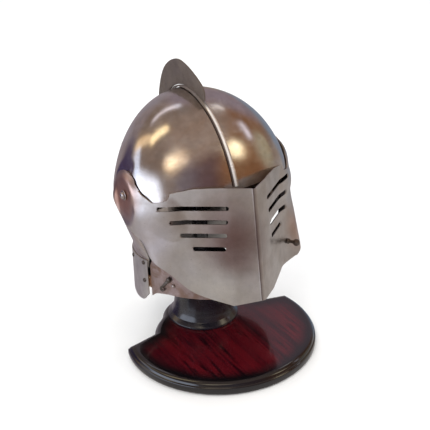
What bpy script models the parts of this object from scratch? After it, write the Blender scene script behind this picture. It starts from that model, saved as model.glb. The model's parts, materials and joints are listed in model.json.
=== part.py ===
"""Knight helmet with a keeled visor, a bevor and a crest fin, on a display stand.

Metres, +Z up. The face looks along -Y and the wearer's right hand side is -X.
The origin is the centre of the plaque's front arc, on the floor.
"""
import math

import bmesh
import bpy
from mathutils import Matrix, Vector

MM = 0.001

# ---------------------------------------------------------------- driving sizes
GAP = 0.3 * MM
SHEET = 1.2 * MM

# Skull: a tall superellipse dome whose widest level sits above the neck
SKULL_LEVEL_Z = 183 * MM
SKULL_RISE = 139 * MM
SKULL_HALF_WIDTH = 113.3 * MM
SKULL_FRONT = 85 * MM
SKULL_BACK = 127.4 * MM
CROWN_Y = 65.4 * MM
SKULL_SHIFT = 33 * MM
WIDTH_POWER = 0.88
FRONT_EXPONENT = 2.1
BACK_EXPONENT = 1.8
TAPER_TOP_Z = 216 * MM
TAPER_END_Z = 138 * MM
TAPER_EASE = 0.23
SKULL_LAP = 9 * MM

# Side pivots, and the flat round them that lets the plates turn
PIVOT_Y = 28 * MM
PIVOT_Z = 223.5 * MM
PIVOT_FLAT_X = 104.3 * MM
FLAT_DROP = 16 * MM
FLAT_RADIUS = 16 * MM
FLAT_EASE = 12 * MM
SWEEP_RADIUS = 29 * MM
SWEEP_RELIEF = 3 * MM
SEAT_RADIUS = 7 * MM
PIVOT_HOLE_RADIUS = 2.8 * MM
PIVOT_SHANK_RADIUS = 2.4 * MM

# Layers from the skull outwards
BEVOR_STANDOFF = 1.0 * MM
VISOR_STANDOFF = 0.9 * MM

# Visor keel and side panels
KEEL_TOP_Y = -86.1 * MM
KEEL_TOP_Z = 248.4 * MM
KEEL_LEAN = 0.132
NOSE_DEPTH = 17.7 * MM
NOSE_SPREAD = 1.42
PANEL_SPREAD = 1.1
ARM_BLEND_FRONT_Y = -22 * MM
ARM_BLEND_LENGTH = 31 * MM
VISOR_REAR_Y = 60 * MM
VISOR_BOTTOM_Z = 96 * MM
VISOR_TOP_Z = 262 * MM
LOBE_RADIUS = 27.5 * MM
LOBE_OFFSET_Y = 4 * MM
LOBE_STANDOFF = 2.6 * MM
ARM_STANDOFF = 4.1 * MM
# The rear corner of the wearer's left panel is bent outwards along a crease
FLARE_RATE = 0.25
FLARE_TOP_Z = 213.5 * MM
FLARE_LIMIT_X = 101.5 * MM
FLARE_LIMIT_RISE = 7 * MM
FLARE_LIMIT_Y = -15 * MM
CREASE_DEPTH = 46.8 * MM
CREASE_WIDTH = 15 * MM

# Sight and breath slots, four on each side of the keel
SLOT_FRONT_Y = -71.4 * MM
SLOT_TOP_Z = 223.7 * MM
SLOT_PITCH = 16.5 * MM
SLOT_FRONT_STEP = 0.5 * MM
SLOT_LENGTHS = [52.5 * MM, 42 * MM, 35.5 * MM, 25.5 * MM]
SLOT_SLOPE = 0.1
SLOT_HALF_HEIGHT = 2.7 * MM

# Neck ring shared by the collar and the bevor
RING_Y = 34.7 * MM
RING_HALF_WIDTH = 90.3 * MM
RING_BACK = 101.5 * MM
RING_FRONT = 99 * MM
RING_TOP_Z = 131 * MM
COLLAR_SLOPE = 0.17
COLLAR_START = math.radians(81)

# Crest
BROW_Z = 235 * MM
NAPE_Z = 122 * MM
STRIP_HALF_WIDTH = 3.5 * MM
STRIP_HEIGHT = 2.9 * MM
FIN_THICKNESS = 2.2 * MM

# Stand
PLAQUE_FRONT_RADIUS = 122 * MM
PLAQUE_BACK_RADIUS = 85 * MM
PLAQUE_BACK_REACH = 13 * MM
PLAQUE_CORNER = math.radians(104)
PLAQUE_SHOULDER = math.radians(117)
FELT_THICKNESS = 1.5 * MM
PLAQUE_BOTTOM_Z = 1.8 * MM
PLAQUE_TOP_Z = 17 * MM
NECK_Y = 46 * MM
NECK_RADIUS = 38 * MM
NECK_FOOT_RADIUS = 46 * MM
NECK_TOP_Z = 106 * MM
POST_RADIUS = 10 * MM
POST_SINK = 25 * MM
POST_TOP_Z = 288 * MM
PAD_RADIUS = 20 * MM
PAD_Y = 55 * MM
SCREW_CIRCLE = 22 * MM

# Liner
LINER_CLEARANCE = 8 * MM
LINER_THICKNESS = 2.5 * MM
BAND_BOTTOM_Z = 240 * MM
BAND_TOP_Z = 262 * MM
STRAP_HALF_WIDTH = 12 * MM
STRAP_CLEARANCE = 2 * MM
CHIN_REACH = 62 * MM
CHIN_Z = 120 * MM
CHIN_STRAP_HALF = 8 * MM

# Small fasteners
RIVET_SHANK = 1.4 * MM
RIVET_BORE = 1.75 * MM
COLLAR_RIVET_DROP = 4.5 * MM
STRAP_RIVET_Z = 103 * MM

# Hook on the wearer's right cheek, and peg on the wearer's left panel
LATCH_Y = -16 * MM
LATCH_Z = 121.5 * MM
LATCH_LIFT = 1.2 * MM
LATCH_THICKNESS = 1.6 * MM
LATCH_LEAN = math.radians(-38)
STUD_Y = -20.5 * MM
STUD_Z = 113.5 * MM
PEG_Y = -46.6 * MM
PEG_Z = 144.4 * MM


# ---------------------------------------------------------------- scene helpers
def clear_scene():
    for item in list(bpy.data.objects):
        bpy.data.objects.remove(item, do_unlink=True)


def material(name, colour, roughness, metallic):
    found = bpy.data.materials.get(name)
    if found:
        return found
    made = bpy.data.materials.new(name)
    made.use_nodes = True
    shader = made.node_tree.nodes["Principled BSDF"]
    shader.inputs["Base Color"].default_value = (*colour, 1)
    shader.inputs["Roughness"].default_value = roughness
    shader.inputs["Metallic"].default_value = metallic
    made.diffuse_color = (*colour, 1)
    return made


FINISH = {
    "polished_steel": ((0.55, 0.50, 0.47), 0.12, 1.0),
    "satin_steel": ((0.50, 0.46, 0.44), 0.32, 1.0),
    "crest_steel": ((0.36, 0.32, 0.30), 0.45, 1.0),
    "dark_steel": ((0.16, 0.14, 0.12), 0.40, 1.0),
    "lacquered_wood": ((0.22, 0.02, 0.03), 0.15, 0.0),
    "black_lacquer": ((0.02, 0.02, 0.03), 0.20, 0.0),
    "leather": ((0.20, 0.11, 0.06), 0.60, 0.0),
    "felt": ((0.05, 0.05, 0.05), 0.95, 0.0),
}


def add_object(name, mesh, finish, origin=(0, 0, 0)):
    """Link a mesh whose points are in world space, with its origin at a given point."""
    item = bpy.data.objects.new(name, mesh)
    bpy.context.scene.collection.objects.link(item)
    mesh.transform(Matrix.Translation(-Vector(origin)))
    item.location = origin
    colour, roughness, metallic = FINISH[finish]
    mesh.materials.append(material(f"{name}_finish", colour, roughness, metallic))
    mesh.shade_smooth()
    mesh.set_sharp_from_angle(angle=math.radians(35))
    return item


def mesh_from_bmesh(name, bm):
    bmesh.ops.recalc_face_normals(bm, faces=bm.faces)
    mesh = bpy.data.meshes.new(name)
    bm.to_mesh(mesh)
    bm.free()
    return mesh


def cut(item, cutter, operation="DIFFERENCE"):
    step = item.modifiers.new(f"{operation.lower()}_{cutter.name}", "BOOLEAN")
    step.object = cutter
    step.operation = operation
    step.solver = "EXACT"


def hide_cutter(item):
    item.hide_render = True
    item.display_type = "WIRE"
    return item


# ---------------------------------------------------------------- shape builders
def prism(name, outline, low_x, high_x):
    """Closed prism: a side-view outline of (y, z) points, extruded along X."""
    bm = bmesh.new()
    near = [bm.verts.new((low_x, y, z)) for y, z in outline]
    far = [bm.verts.new((high_x, y, z)) for y, z in outline]
    bm.faces.new(near)
    bm.faces.new(far[::-1])
    count = len(outline)
    for index in range(count):
        following = (index + 1) % count
        bm.faces.new((near[index], near[following], far[following], far[index]))
    return mesh_from_bmesh(name, bm)


def cutter_prism(name, outline, low_x=-160 * MM, high_x=160 * MM):
    mesh = prism(name, outline, low_x, high_x)
    item = bpy.data.objects.new(name, mesh)
    bpy.context.scene.collection.objects.link(item)
    return hide_cutter(item)


def lathe(name, profile, steps, placement=Matrix.Identity(4)):
    """Closed turned solid: (radius, height) points turned about Z, then placed."""
    bm = bmesh.new()
    rings = []
    for radius, height in profile:
        if radius == 0:
            rings.append([bm.verts.new((0, 0, height))])
            continue
        angles = [2 * math.pi * step / steps for step in range(steps)]
        rings.append([bm.verts.new((radius * math.cos(a), radius * math.sin(a), height)) for a in angles])
    for lower, upper in zip(rings, rings[1:]):
        join_rings(bm, lower, upper)
    for ring, flip in ((rings[0], True), (rings[-1], False)):
        if len(ring) > 1:
            bm.faces.new(ring[::-1] if flip else ring)
    mesh = mesh_from_bmesh(name, bm)
    mesh.transform(placement)
    return mesh


def join_rings(bm, lower, upper):
    count = max(len(lower), len(upper))
    for index in range(count):
        following = (index + 1) % count
        corners = [lower[index % len(lower)], lower[following % len(lower)],
                   upper[following % len(upper)], upper[index % len(upper)]]
        unique = list(dict.fromkeys(corners))
        bm.faces.new(unique)


def loft(name, rings):
    """Closed solid through rings of equal point counts, capped at both ends."""
    bm = bmesh.new()
    made = [[bm.verts.new(point) for point in ring] for ring in rings]
    for lower, upper in zip(made, made[1:]):
        join_rings(bm, lower, upper)
    bm.faces.new(made[0][::-1])
    bm.faces.new(made[-1])
    return mesh_from_bmesh(name, bm)


def sheet_shell(name, outer, inner):
    """Closed sheet between two grids of points. A last row of one point is a pole."""
    bm = bmesh.new()
    sides = []
    for rows in (outer, inner):
        sides.append([[bm.verts.new(point) for point in row] for row in rows])
    for grid in sides:
        for lower, upper in zip(grid, grid[1:]):
            for index in range(len(lower) - 1):
                following = index + 1
                corners = [lower[index], lower[following], upper[min(following, len(upper) - 1)],
                           upper[min(index, len(upper) - 1)]]
                bm.faces.new(list(dict.fromkeys(corners)))
    out, back = sides
    rims = [(out[0], back[0])]
    if len(out[-1]) > 1:
        rims.append((out[-1], back[-1]))
    rims.append(([row[0] for row in out], [row[0] for row in back]))
    rims.append(([row[-1] for row in out], [row[-1] for row in back]))
    for first, second in rims:
        for index in range(len(first) - 1):
            bm.faces.new((first[index], first[index + 1], second[index + 1], second[index]))
    return mesh_from_bmesh(name, bm)


def sweep(name, stations, section):
    """Closed bar: a section of (across, up) points carried along (point, across, up) stations."""
    rings = []
    for point, across, up in stations:
        rings.append([point + across * a + up * b for a, b in section])
    return loft(name, rings)


def turn_to(direction, origin):
    """Placement that carries +Z to a direction and the origin to a point."""
    rotation = Vector((0, 0, 1)).rotation_difference(Vector(direction)).to_matrix().to_4x4()
    return Matrix.Translation(origin) @ rotation


def smooth(value):
    value = min(max(value, 0), 1)
    return value * value * (3 - 2 * value)


def mix(first, second, weight):
    return first + (second - first) * weight


def spread(low, high, count):
    return [low + (high - low) * index / (count - 1) for index in range(count)]


def curve_through(points, steps):
    """Catmull-Rom curve through the points, with a number of steps to each span."""
    ends = [points[0]] + list(points) + [points[-1]]
    result = []
    for index in range(len(points) - 1):
        a, b, c, d = ends[index:index + 4]
        for step in range(steps):
            t = step / steps
            result.append(tuple(
                0.5 * (2 * q + (r - p) * t + (2 * p - 5 * q + 4 * r - s) * t * t
                       + (3 * q - p - 3 * r + s) * t ** 3)
                for p, q, r, s in zip(a, b, c, d)))
    result.append(tuple(points[-1]))
    return result


def scaled_list(*values):
    return [value * MM for value in values]


def scaled(points):
    return [(a * MM, b * MM) for a, b in points]


# ---------------------------------------------------------------- skull surface
def dome_width(z):
    """Cosine-like factor: 1 at the widest level, 0 at the crown."""
    rise = min(max((z - SKULL_LEVEL_Z) / SKULL_RISE, 0), 1)
    return math.sqrt(1 - rise * rise)


def neck_weight(z):
    """0 where the dome begins, 1 where the skull has narrowed to the neck ring."""
    drop = min(max((TAPER_TOP_Z - z) / (TAPER_TOP_Z - TAPER_END_Z), 0), 1)
    return (1 + TAPER_EASE) * drop * drop / (drop + TAPER_EASE)


def section(z, standoff=0):
    """Plan of the skull at a height, grown by a standoff.

    Centre y, front length, back length, half width, front exponent, back exponent.
    """
    width = dome_width(z)
    weight = neck_weight(z)
    inset = SHEET + GAP
    centre = mix(CROWN_Y - SKULL_SHIFT * width, RING_Y, weight)
    front = mix(SKULL_FRONT * width, RING_FRONT - inset, weight)
    back = mix(SKULL_BACK * width, RING_BACK - inset, weight)
    half = mix(SKULL_HALF_WIDTH * width ** WIDTH_POWER, RING_HALF_WIDTH - inset, weight)
    front_exponent = mix(FRONT_EXPONENT, 2, weight)
    back_exponent = mix(BACK_EXPONENT, 2, weight)
    return centre, front + standoff, back + standoff, half + standoff, front_exponent, back_exponent


def side_of(plan, y):
    """Half width of a plan at y."""
    centre, front, back, half, front_exponent, back_exponent = plan
    length, exponent = (front, front_exponent) if y < centre else (back, back_exponent)
    if length <= 0:
        return 0
    inside = max(0, 1 - (abs(y - centre) / length) ** exponent)
    return half * inside ** (1 / exponent)


def plan_point(plan, angle, z):
    """Point of a plan at an angle, 0 front and pi back, on the +X side up to pi."""
    centre, front, back, half, front_exponent, back_exponent = plan
    facing, across = math.cos(angle), math.sin(angle)
    length, exponent = (front, front_exponent) if facing > 0 else (back, back_exponent)
    along = math.copysign(abs(facing) ** (2 / exponent), facing) * length
    wide = math.copysign(abs(across) ** (2 / exponent), across) * half
    return Vector((wide, centre - along, z))


def arm_distance(y, z):
    """Distance in the side view from the short line below the pivot that the arms follow."""
    nearest = min(max(z, PIVOT_Z - FLAT_DROP), PIVOT_Z)
    return math.hypot(y - PIVOT_Y, z - nearest)


def plate_side(y, z, standoff, radius=FLAT_RADIUS):
    """Half width of a plate that follows the skull at a standoff, flat round the pivot."""
    natural = side_of(section(z), y) + standoff
    ease = smooth((arm_distance(y, z) - radius) / FLAT_EASE)
    return mix(PIVOT_FLAT_X + standoff, natural, ease)


def skull_point(angle, z):
    """Outer point of the skull at a plan angle and height, on the +X side.

    Below the pivot the skull dips to the flat, and a shallow relief round it lets the
    visor's lobes sweep past.
    """
    point = plan_point(section(z), angle, z)
    if point.x > PIVOT_FLAT_X / 2:
        relief = SWEEP_RELIEF * (1 - smooth((arm_distance(point.y, z) - SWEEP_RADIUS) / FLAT_EASE))
        dipped = min(point.x - relief, plate_side(point.y, z, 0, SWEEP_RADIUS))
        ease = smooth((math.hypot(point.y - PIVOT_Y, z - PIVOT_Z) - SEAT_RADIUS) / SEAT_RADIUS)
        point.x = mix(PIVOT_FLAT_X, dipped, ease)
    return point


def offset_grid(grid, distance):
    """Move each point of a grid inwards, along its normal, towards the head."""
    heart = Vector((0, RING_Y, SKULL_LEVEL_Z))
    result = []
    for row_index, row in enumerate(grid):
        moved = []
        for index, point in enumerate(row):
            before, after = row[max(index - 1, 0)], row[min(index + 1, len(row) - 1)]
            lower = grid[max(row_index - 1, 0)]
            upper = grid[min(row_index + 1, len(grid) - 1)]
            below = lower[index]
            above = upper[min(index, len(upper) - 1)]
            normal = (after - before).cross(above - below)
            if normal.length < 1e-12:
                normal = Vector((0, 0, 1))
            normal.normalize()
            if normal.dot(point - heart) < 0:
                normal.negate()
            moved.append(point - normal * distance)
        result.append(moved)
    return result


def build_skull(pivot_bore, rivet_bores):
    """Two half shells that meet at the middle, with the face left open."""
    heights = scaled_list(96, 138, 150, 165, 183, 195, 203, 211, 219, 227, 235, 243)
    heights += scaled_list(254, 270, 285, 299, 311, 318.5)
    angles = spread(0, math.pi, 19)
    outer = [[skull_point(angle, z) for angle in angles] for z in heights]
    inner = offset_grid(outer, SHEET)
    crown = SKULL_LEVEL_Z + SKULL_RISE
    seam = GAP / 2
    for rows, top in ((outer, crown), (inner, crown - SHEET)):
        for row in rows:
            row[0].x = seam
            row[-1].x = seam
            for point in row:
                point.x = max(point.x, seam)
        rows.append([Vector((seam, CROWN_Y, top))])
    face = scaled([(-70, 231), (-40, 231), (-11, 224), (0, 210), (9, 185), (14, 160), (19, 120), (-70, 120)])
    opening = cutter_prism("face_opening_cutter", face)
    front, back = -80 * MM, 150 * MM
    below = 90 * MM
    hem = [(front, collar_top(front) - SKULL_LAP), (back, collar_top(back) - SKULL_LAP)]
    hem += [(back, below), (front, below)]
    hem_cutter = cutter_prism("skull_hem_cutter", hem)
    for side, name in ((-1, "skull_right"), (1, "skull_left")):
        flipped = [[[Vector((p.x * side, p.y, p.z)) for p in row] for row in rows] for rows in (outer, inner)]
        item = add_object(name, sheet_shell(name, *flipped), "polished_steel")
        cut(item, opening)
        cut(item, hem_cutter)
        cut(item, pivot_bore)
        for rivet_bore in rivet_bores:
            cut(item, rivet_bore)


# ---------------------------------------------------------------- crest
def middle_profile(z, rear):
    """Y of the skull's middle line at a height."""
    centre, front, back = section(z)[:3]
    return centre + back if rear else centre - front


def crest_stations(start_lift, end_z, count):
    """Points over the crown along the middle line, from the brow to the nape."""
    brow = math.asin(start_lift)
    points = []
    for step in spread(brow, math.pi / 2, count):
        points.append((middle_profile(SKULL_LEVEL_Z + SKULL_RISE * math.sin(step), False),
                       SKULL_LEVEL_Z + SKULL_RISE * math.sin(step)))
    for step in spread(math.pi / 2, 0, count)[1:]:
        points.append((middle_profile(SKULL_LEVEL_Z + SKULL_RISE * math.sin(step), True),
                       SKULL_LEVEL_Z + SKULL_RISE * math.sin(step)))
    for z in spread(SKULL_LEVEL_Z, end_z, 4)[1:]:
        points.append((middle_profile(z, True), z))
    return points


def path_normals(points):
    """Upward normals of a (y, z) path that runs from front to back over the crown."""
    normals = []
    for index in range(len(points)):
        before, after = points[max(index - 1, 0)], points[min(index + 1, len(points) - 1)]
        along = Vector((0, after[0] - before[0], after[1] - before[1])).normalized()
        normals.append(Vector((0, -along.z, along.y)))
    return normals


def build_crest():
    brow_lift = (BROW_Z - SKULL_LEVEL_Z) / SKULL_RISE
    path = crest_stations(brow_lift, NAPE_Z, 13)
    normals = path_normals(path)
    stations = [(Vector((0, y, z)), Vector((1, 0, 0)), up) for (y, z), up in zip(path, normals)]
    w, h = STRIP_HALF_WIDTH, STRIP_HEIGHT
    seat = 3.5 * GAP
    outline = [(-w, seat), (w, seat), (w, 0.45 * h), (0, h), (-w, 0.45 * h)]
    add_object("crest_strip", sweep("crest_strip", stations, outline), "polished_steel")

    edge = scaled([(22.9, 319.5), (27.5, 335), (62, 350.5), (93, 352.8), (123, 335), (139.5, 304),
                   (145.8, 268)])
    top = curve_through(edge, 5)
    foot_gap = STRIP_HEIGHT + 2 * GAP
    foot = [(y + up.y * foot_gap, z + up.z * foot_gap) for (y, z), up in zip(path, normals)]
    foot = [(y, z) for y, z in foot if y > 25 * MM and z > 272 * MM]
    fin = prism("crest_fin", top + foot[::-1], -FIN_THICKNESS / 2, FIN_THICKNESS / 2)
    add_object("crest_fin", fin, "crest_steel")


# ---------------------------------------------------------------- visor
def keel_y(z):
    return KEEL_TOP_Y - (KEEL_TOP_Z - z) * KEEL_LEAN


def panel_side(y, z):
    """Half width of the visor's flat panels, which fan back from the keel."""
    depth = max(0, y - keel_y(z))
    if depth < NOSE_DEPTH:
        return NOSE_SPREAD * depth
    return NOSE_SPREAD * NOSE_DEPTH + PANEL_SPREAD * (depth - NOSE_DEPTH)


def flared_side(y, z):
    """Half width of the wearer's left panel, whose rear corner is bent outwards."""
    depth = y - keel_y(z)
    flare = FLARE_RATE * max(0, FLARE_TOP_Z - z) * smooth((depth - CREASE_DEPTH) / CREASE_WIDTH)
    ease = CREASE_WIDTH / 2
    limit = FLARE_LIMIT_X + FLARE_LIMIT_RISE * smooth((y - FLARE_LIMIT_Y) / ARM_BLEND_LENGTH) - ease
    side = panel_side(y, z) + flare
    if side > limit:
        side = limit + ease * (1 - math.exp((limit - side) / ease))
    return side


def visor_side(y, z, panel=panel_side):
    """Half width of the visor: flat panels that run into arms over the bevor's arms."""
    below = smooth((PIVOT_Z - z) / LOBE_RADIUS)
    standoff = mix(LOBE_STANDOFF, ARM_STANDOFF, below)
    level = PIVOT_FLAT_X + BEVOR_STANDOFF + VISOR_STANDOFF + 2 * SHEET
    ease = smooth((arm_distance(y, z) - FLAT_RADIUS + 2 * MM) / FLAT_EASE)
    arm = mix(level, plate_side(y, z, standoff), ease)
    weight = smooth((y - ARM_BLEND_FRONT_Y) / ARM_BLEND_LENGTH)
    over_bevor = (SHEET + BEVOR_STANDOFF) * smooth((y + 14 * MM) / (10 * MM)) * below
    least = plate_side(y, z, over_bevor + SHEET + 4 * GAP)
    return max(mix(panel(y, z), arm, weight), least)


def visor_grid(rows, columns):
    """Outer grid across the whole sheet, from the right arm over the keel to the left arm."""
    grid = []
    for z in spread(VISOR_BOTTOM_Z, VISOR_TOP_Z, rows):
        front = keel_y(z)
        row = []
        for side in (-1, 1):
            half = []
            for step in spread(0, 1, columns):
                y = mix(front, VISOR_REAR_Y, step ** 1.15)
                x = visor_side(y, z, flared_side if side > 0 else panel_side)
                half.append(Vector((side * x, y, z)))
            row += half[::-1] if side < 0 else half[1:]
        grid.append(row)
    return grid


def sheet_inside(grid, distance):
    """Inner grid of a folded sheet, with its fold kept on the middle plane."""
    inner = offset_grid(grid, distance)
    middle = len(grid[0]) // 2
    for outer_row, inner_row in zip(grid, inner):
        fold = math.hypot(1, 1 / NOSE_SPREAD) * distance
        inner_row[middle] = outer_row[middle] + Vector((0, fold, 0))
    return inner


def lobe(start, end, radius, steps, offset=0):
    """Arc round the pivot, in the side view, angles measured from the back, upwards."""
    points = []
    for angle in spread(math.radians(start), math.radians(end), steps):
        points.append((PIVOT_Y + offset + radius * math.cos(angle), PIVOT_Z + radius * math.sin(angle)))
    return points


def visor_outline():
    top_front = scaled([(-87.5, 248.4), (-62.7, 247.6), (-42, 244.3), (-24, 236.6), (-23.9, 229), (-18, 226)])
    valley = curve_through(scaled([(-12.2, 225.2), (-0.1, 232.4), (11.5, 241.3)]), 3)
    arm_top = lobe(130, 0, LOBE_RADIUS, 9, LOBE_OFFSET_Y)
    rear = curve_through(scaled([(58, 215), (44, 195), (17, 178.5), (4.5, 169), (-10, 153.3)]), 3)
    lower = curve_through(scaled([(-10, 153.3), (-28.3, 138.5), (-52, 115.5), (-84.1, 103.6)]), 4)[1:]
    tip = scaled([(-110, 114.8), (-110, 248.4)])
    return top_front + valley + arm_top + rear + lower + tip


def slot_outline(inner, outer, half_height, steps=4):
    """Round-ended slot between two side-view points."""
    along = Vector((outer[0] - inner[0], outer[1] - inner[1]))
    lean = math.atan2(along.y, along.x)
    points = []
    for centre, start in ((outer, -math.pi / 2), (inner, math.pi / 2)):
        for step in range(steps + 1):
            angle = lean + start + math.pi * step / steps
            points.append((centre[0] + half_height * 0.7 * math.cos(angle),
                           centre[1] + half_height * math.sin(angle)))
    return points


def build_visor(pivot_bore, peg_bore):
    outer = visor_grid(14, 17)
    item = add_object("visor", sheet_shell("visor", outer, sheet_inside(outer, SHEET)), "satin_steel",
                      (0, PIVOT_Y, PIVOT_Z))
    cut(item, cutter_prism("visor_outline_cutter", visor_outline()), "INTERSECT")
    trim = scaled([(-115, 110), (-104, 110), (-84, 112), (-68, 115), (-54, 118), (-46, 121)])
    trim += scaled([(-46, 90), (-115, 90)])
    cut(item, cutter_prism("left_trim_cutter", trim, 0.4 * MM))
    for index, length in enumerate(SLOT_LENGTHS):
        front = (SLOT_FRONT_Y - index * SLOT_FRONT_STEP, SLOT_TOP_Z - index * SLOT_PITCH)
        rear = (front[0] + length, front[1] - SLOT_SLOPE * length)
        slot = slot_outline((front[0] + 2 * MM, front[1]), rear, SLOT_HALF_HEIGHT)
        cut(item, cutter_prism(f"slot_cutter_{index + 1}", slot))
    cut(item, pivot_bore)
    cut(item, peg_bore)


# ---------------------------------------------------------------- bevor and collar
def bevor_standoff(z):
    """Outside the skull above, flush with the collar below."""
    return mix(BEVOR_STANDOFF + SHEET, GAP + SHEET, neck_weight(z))


def bevor_grid(rows, columns):
    """Outer grid from the right rear edge round the chin to the left rear edge."""
    grid = []
    rear = PIVOT_Y + 24 * MM
    for z in spread(84 * MM, PIVOT_Z + 24 * MM, rows):
        standoff = bevor_standoff(z)
        plan = section(z, standoff)
        front = plan[0] - plan[1]
        row = []
        for side in (-1, 1):
            half = []
            for step in range(columns):
                turn = 0.5 * math.pi * step / (columns - 1)
                y = mix(front, rear, 1 - math.cos(turn))
                x = side_of(plan, y) if step else 0
                if y > ARM_BLEND_FRONT_Y:
                    ease = smooth((arm_distance(y, z) - FLAT_RADIUS) / FLAT_EASE)
                    x = mix(PIVOT_FLAT_X + standoff, x, ease)
                half.append(Vector((side * x, y, z)))
            row += half[::-1] if side < 0 else half[1:]
        grid.append(row)
    return grid


def build_bevor(bores):
    outer = bevor_grid(14, 13)
    inner = offset_grid(outer, SHEET)
    for row in inner:
        row[len(row) // 2].x = 0
    item = add_object("bevor", sheet_shell("bevor", outer, inner), "satin_steel", (0, PIVOT_Y, PIVOT_Z))
    arm = lobe(0, 165, 13 * MM, 9)
    front = curve_through(scaled([(10, 208), (-3, 184), (-30, 166), (-66, 161.5)]), 3)
    chin = scaled([(-80, 161.5), (-80, 100.5), (-40.8, 100.5)])
    lower = curve_through(scaled([(-13.7, 99.5), (3.5, 95), (12.5, 88)]), 3)
    rear = scaled([(13.2, 130), (2.5, 152), (20, 178), (42, 206)])
    cut(item, cutter_prism("bevor_outline_cutter", arm + front + chin + lower + rear), "INTERSECT")
    for hole in bores:
        cut(item, hole)


def ring_plan(inset=0):
    return RING_Y, RING_FRONT - inset, RING_BACK - inset, RING_HALF_WIDTH - inset, 2, 2


def ring_point(angle, z, inset=0):
    """Point of the neck ring at a plan angle, 0 front and pi back."""
    return plan_point(ring_plan(inset), angle, z)


def ring_normal(point):
    """Outward level normal of the neck ring at a point."""
    length = RING_FRONT if point.y < RING_Y else RING_BACK
    return Vector((point.x / RING_HALF_WIDTH ** 2, (point.y - RING_Y) / length ** 2, 0)).normalized()


def collar_top(y):
    """Height of the collar's top edge, which drops towards the nape."""
    return RING_TOP_Z - COLLAR_SLOPE * (y - RING_Y)


def build_neck_guard(bores):
    """Collar round the back of the neck, with rounded lower corners."""
    angles = spread(COLLAR_START, 2 * math.pi - COLLAR_START, 25)
    levels = (66 * MM, 100 * MM, 138 * MM)
    outer = [[ring_point(angle, z) for angle in angles] for z in levels]
    inner = [[ring_point(angle, z, SHEET) for angle in angles] for z in levels]
    item = add_object("neck_guard", sheet_shell("neck_guard", outer, inner), "satin_steel")
    lower = curve_through(scaled([(19, 88), (25, 81), (34, 73), (54, 68.4)]), 3)
    front, back = 19 * MM, 150 * MM
    outline = [(front, collar_top(front))] + lower + [(back, 68.4 * MM), (back, collar_top(back))]
    cut(item, cutter_prism("collar_outline_cutter", outline), "INTERSECT")
    for hole in bores:
        cut(item, hole)


# ---------------------------------------------------------------- rivets and pins
def bore(name, point, direction, radius, length):
    """Round cutter centred on a point."""
    mesh = lathe(name, [(radius, -length / 2), (radius, length / 2)], 12, turn_to(direction, point))
    item = bpy.data.objects.new(name, mesh)
    bpy.context.scene.collection.objects.link(item)
    return hide_cutter(item)


def rivet_profile(head, head_height, shank, reach, tail):
    """Turned rivet along +Z: dome outside (z > 0), shank inwards, clenched tail."""
    dome = [(head, 0), (head * 0.9, head_height * 0.45), (head * 0.6, head_height * 0.82), (0, head_height)]
    end = -reach
    return [(0, end - 1.1 * MM), (tail * 0.7, end - 1.1 * MM), (tail, end), (shank, end), (shank, 0)] + dome


def ring_solid(name, outline, steps, placement):
    """Closed ring: a closed (radius, height) outline turned about Z, then placed."""
    bm = bmesh.new()
    rings = []
    for step in range(steps):
        angle = 2 * math.pi * step / steps
        rings.append([bm.verts.new((r * math.cos(angle), r * math.sin(angle), h)) for r, h in outline])
    for index in range(steps):
        join_rings(bm, rings[index], rings[(index + 1) % steps])
    mesh = mesh_from_bmesh(name, bm)
    mesh.transform(placement)
    return mesh


def small_rivets(name, places, head, height, reach, finish):
    """Identical small rivets, each its own object, at (point, outward direction) places."""
    mesh_profile = rivet_profile(head, height, RIVET_SHANK, reach, RIVET_SHANK * 1.9)
    for index, (point, outward) in enumerate(places):
        seat = point + outward * GAP
        full_name = f"{name}_{index + 1}"
        add_object(full_name, lathe(full_name, mesh_profile, 10, turn_to(outward, seat)), finish, seat)


def collar_rivet_places():
    """Rivets along the collar's top edge, where it overlaps the skull."""
    places = []
    for degrees in (86, 106, 143, 180, 217, 254, 274):
        point = ring_point(math.radians(degrees), 0)
        point.z = collar_top(point.y) - COLLAR_RIVET_DROP
        places.append((point, ring_normal(point)))
    return places


def strap_rivet_places():
    """One rivet a side, low on the collar near its front edge."""
    places = []
    for degrees in (86, 274):
        point = ring_point(math.radians(degrees), STRAP_RIVET_Z)
        places.append((point, ring_normal(point)))
    return places


def liner_rivet_places():
    """Four rivets behind the arms that hold the liner band to the skull."""
    places = []
    for degrees in (135, 160, 200, 225):
        angle = math.radians(degrees)
        z = (BAND_BOTTOM_Z + BAND_TOP_Z) / 2
        point = plan_point(section(z), angle, z)
        step = 0.5 * MM
        along = plan_point(section(z), angle + 0.01, z) - point
        up = plan_point(section(z + step), angle, z + step) - point
        outward = along.cross(up).normalized()
        if outward.dot(point - Vector((0, CROWN_Y, z))) < 0:
            outward.negate()
        places.append((point, outward))
    return places


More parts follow.
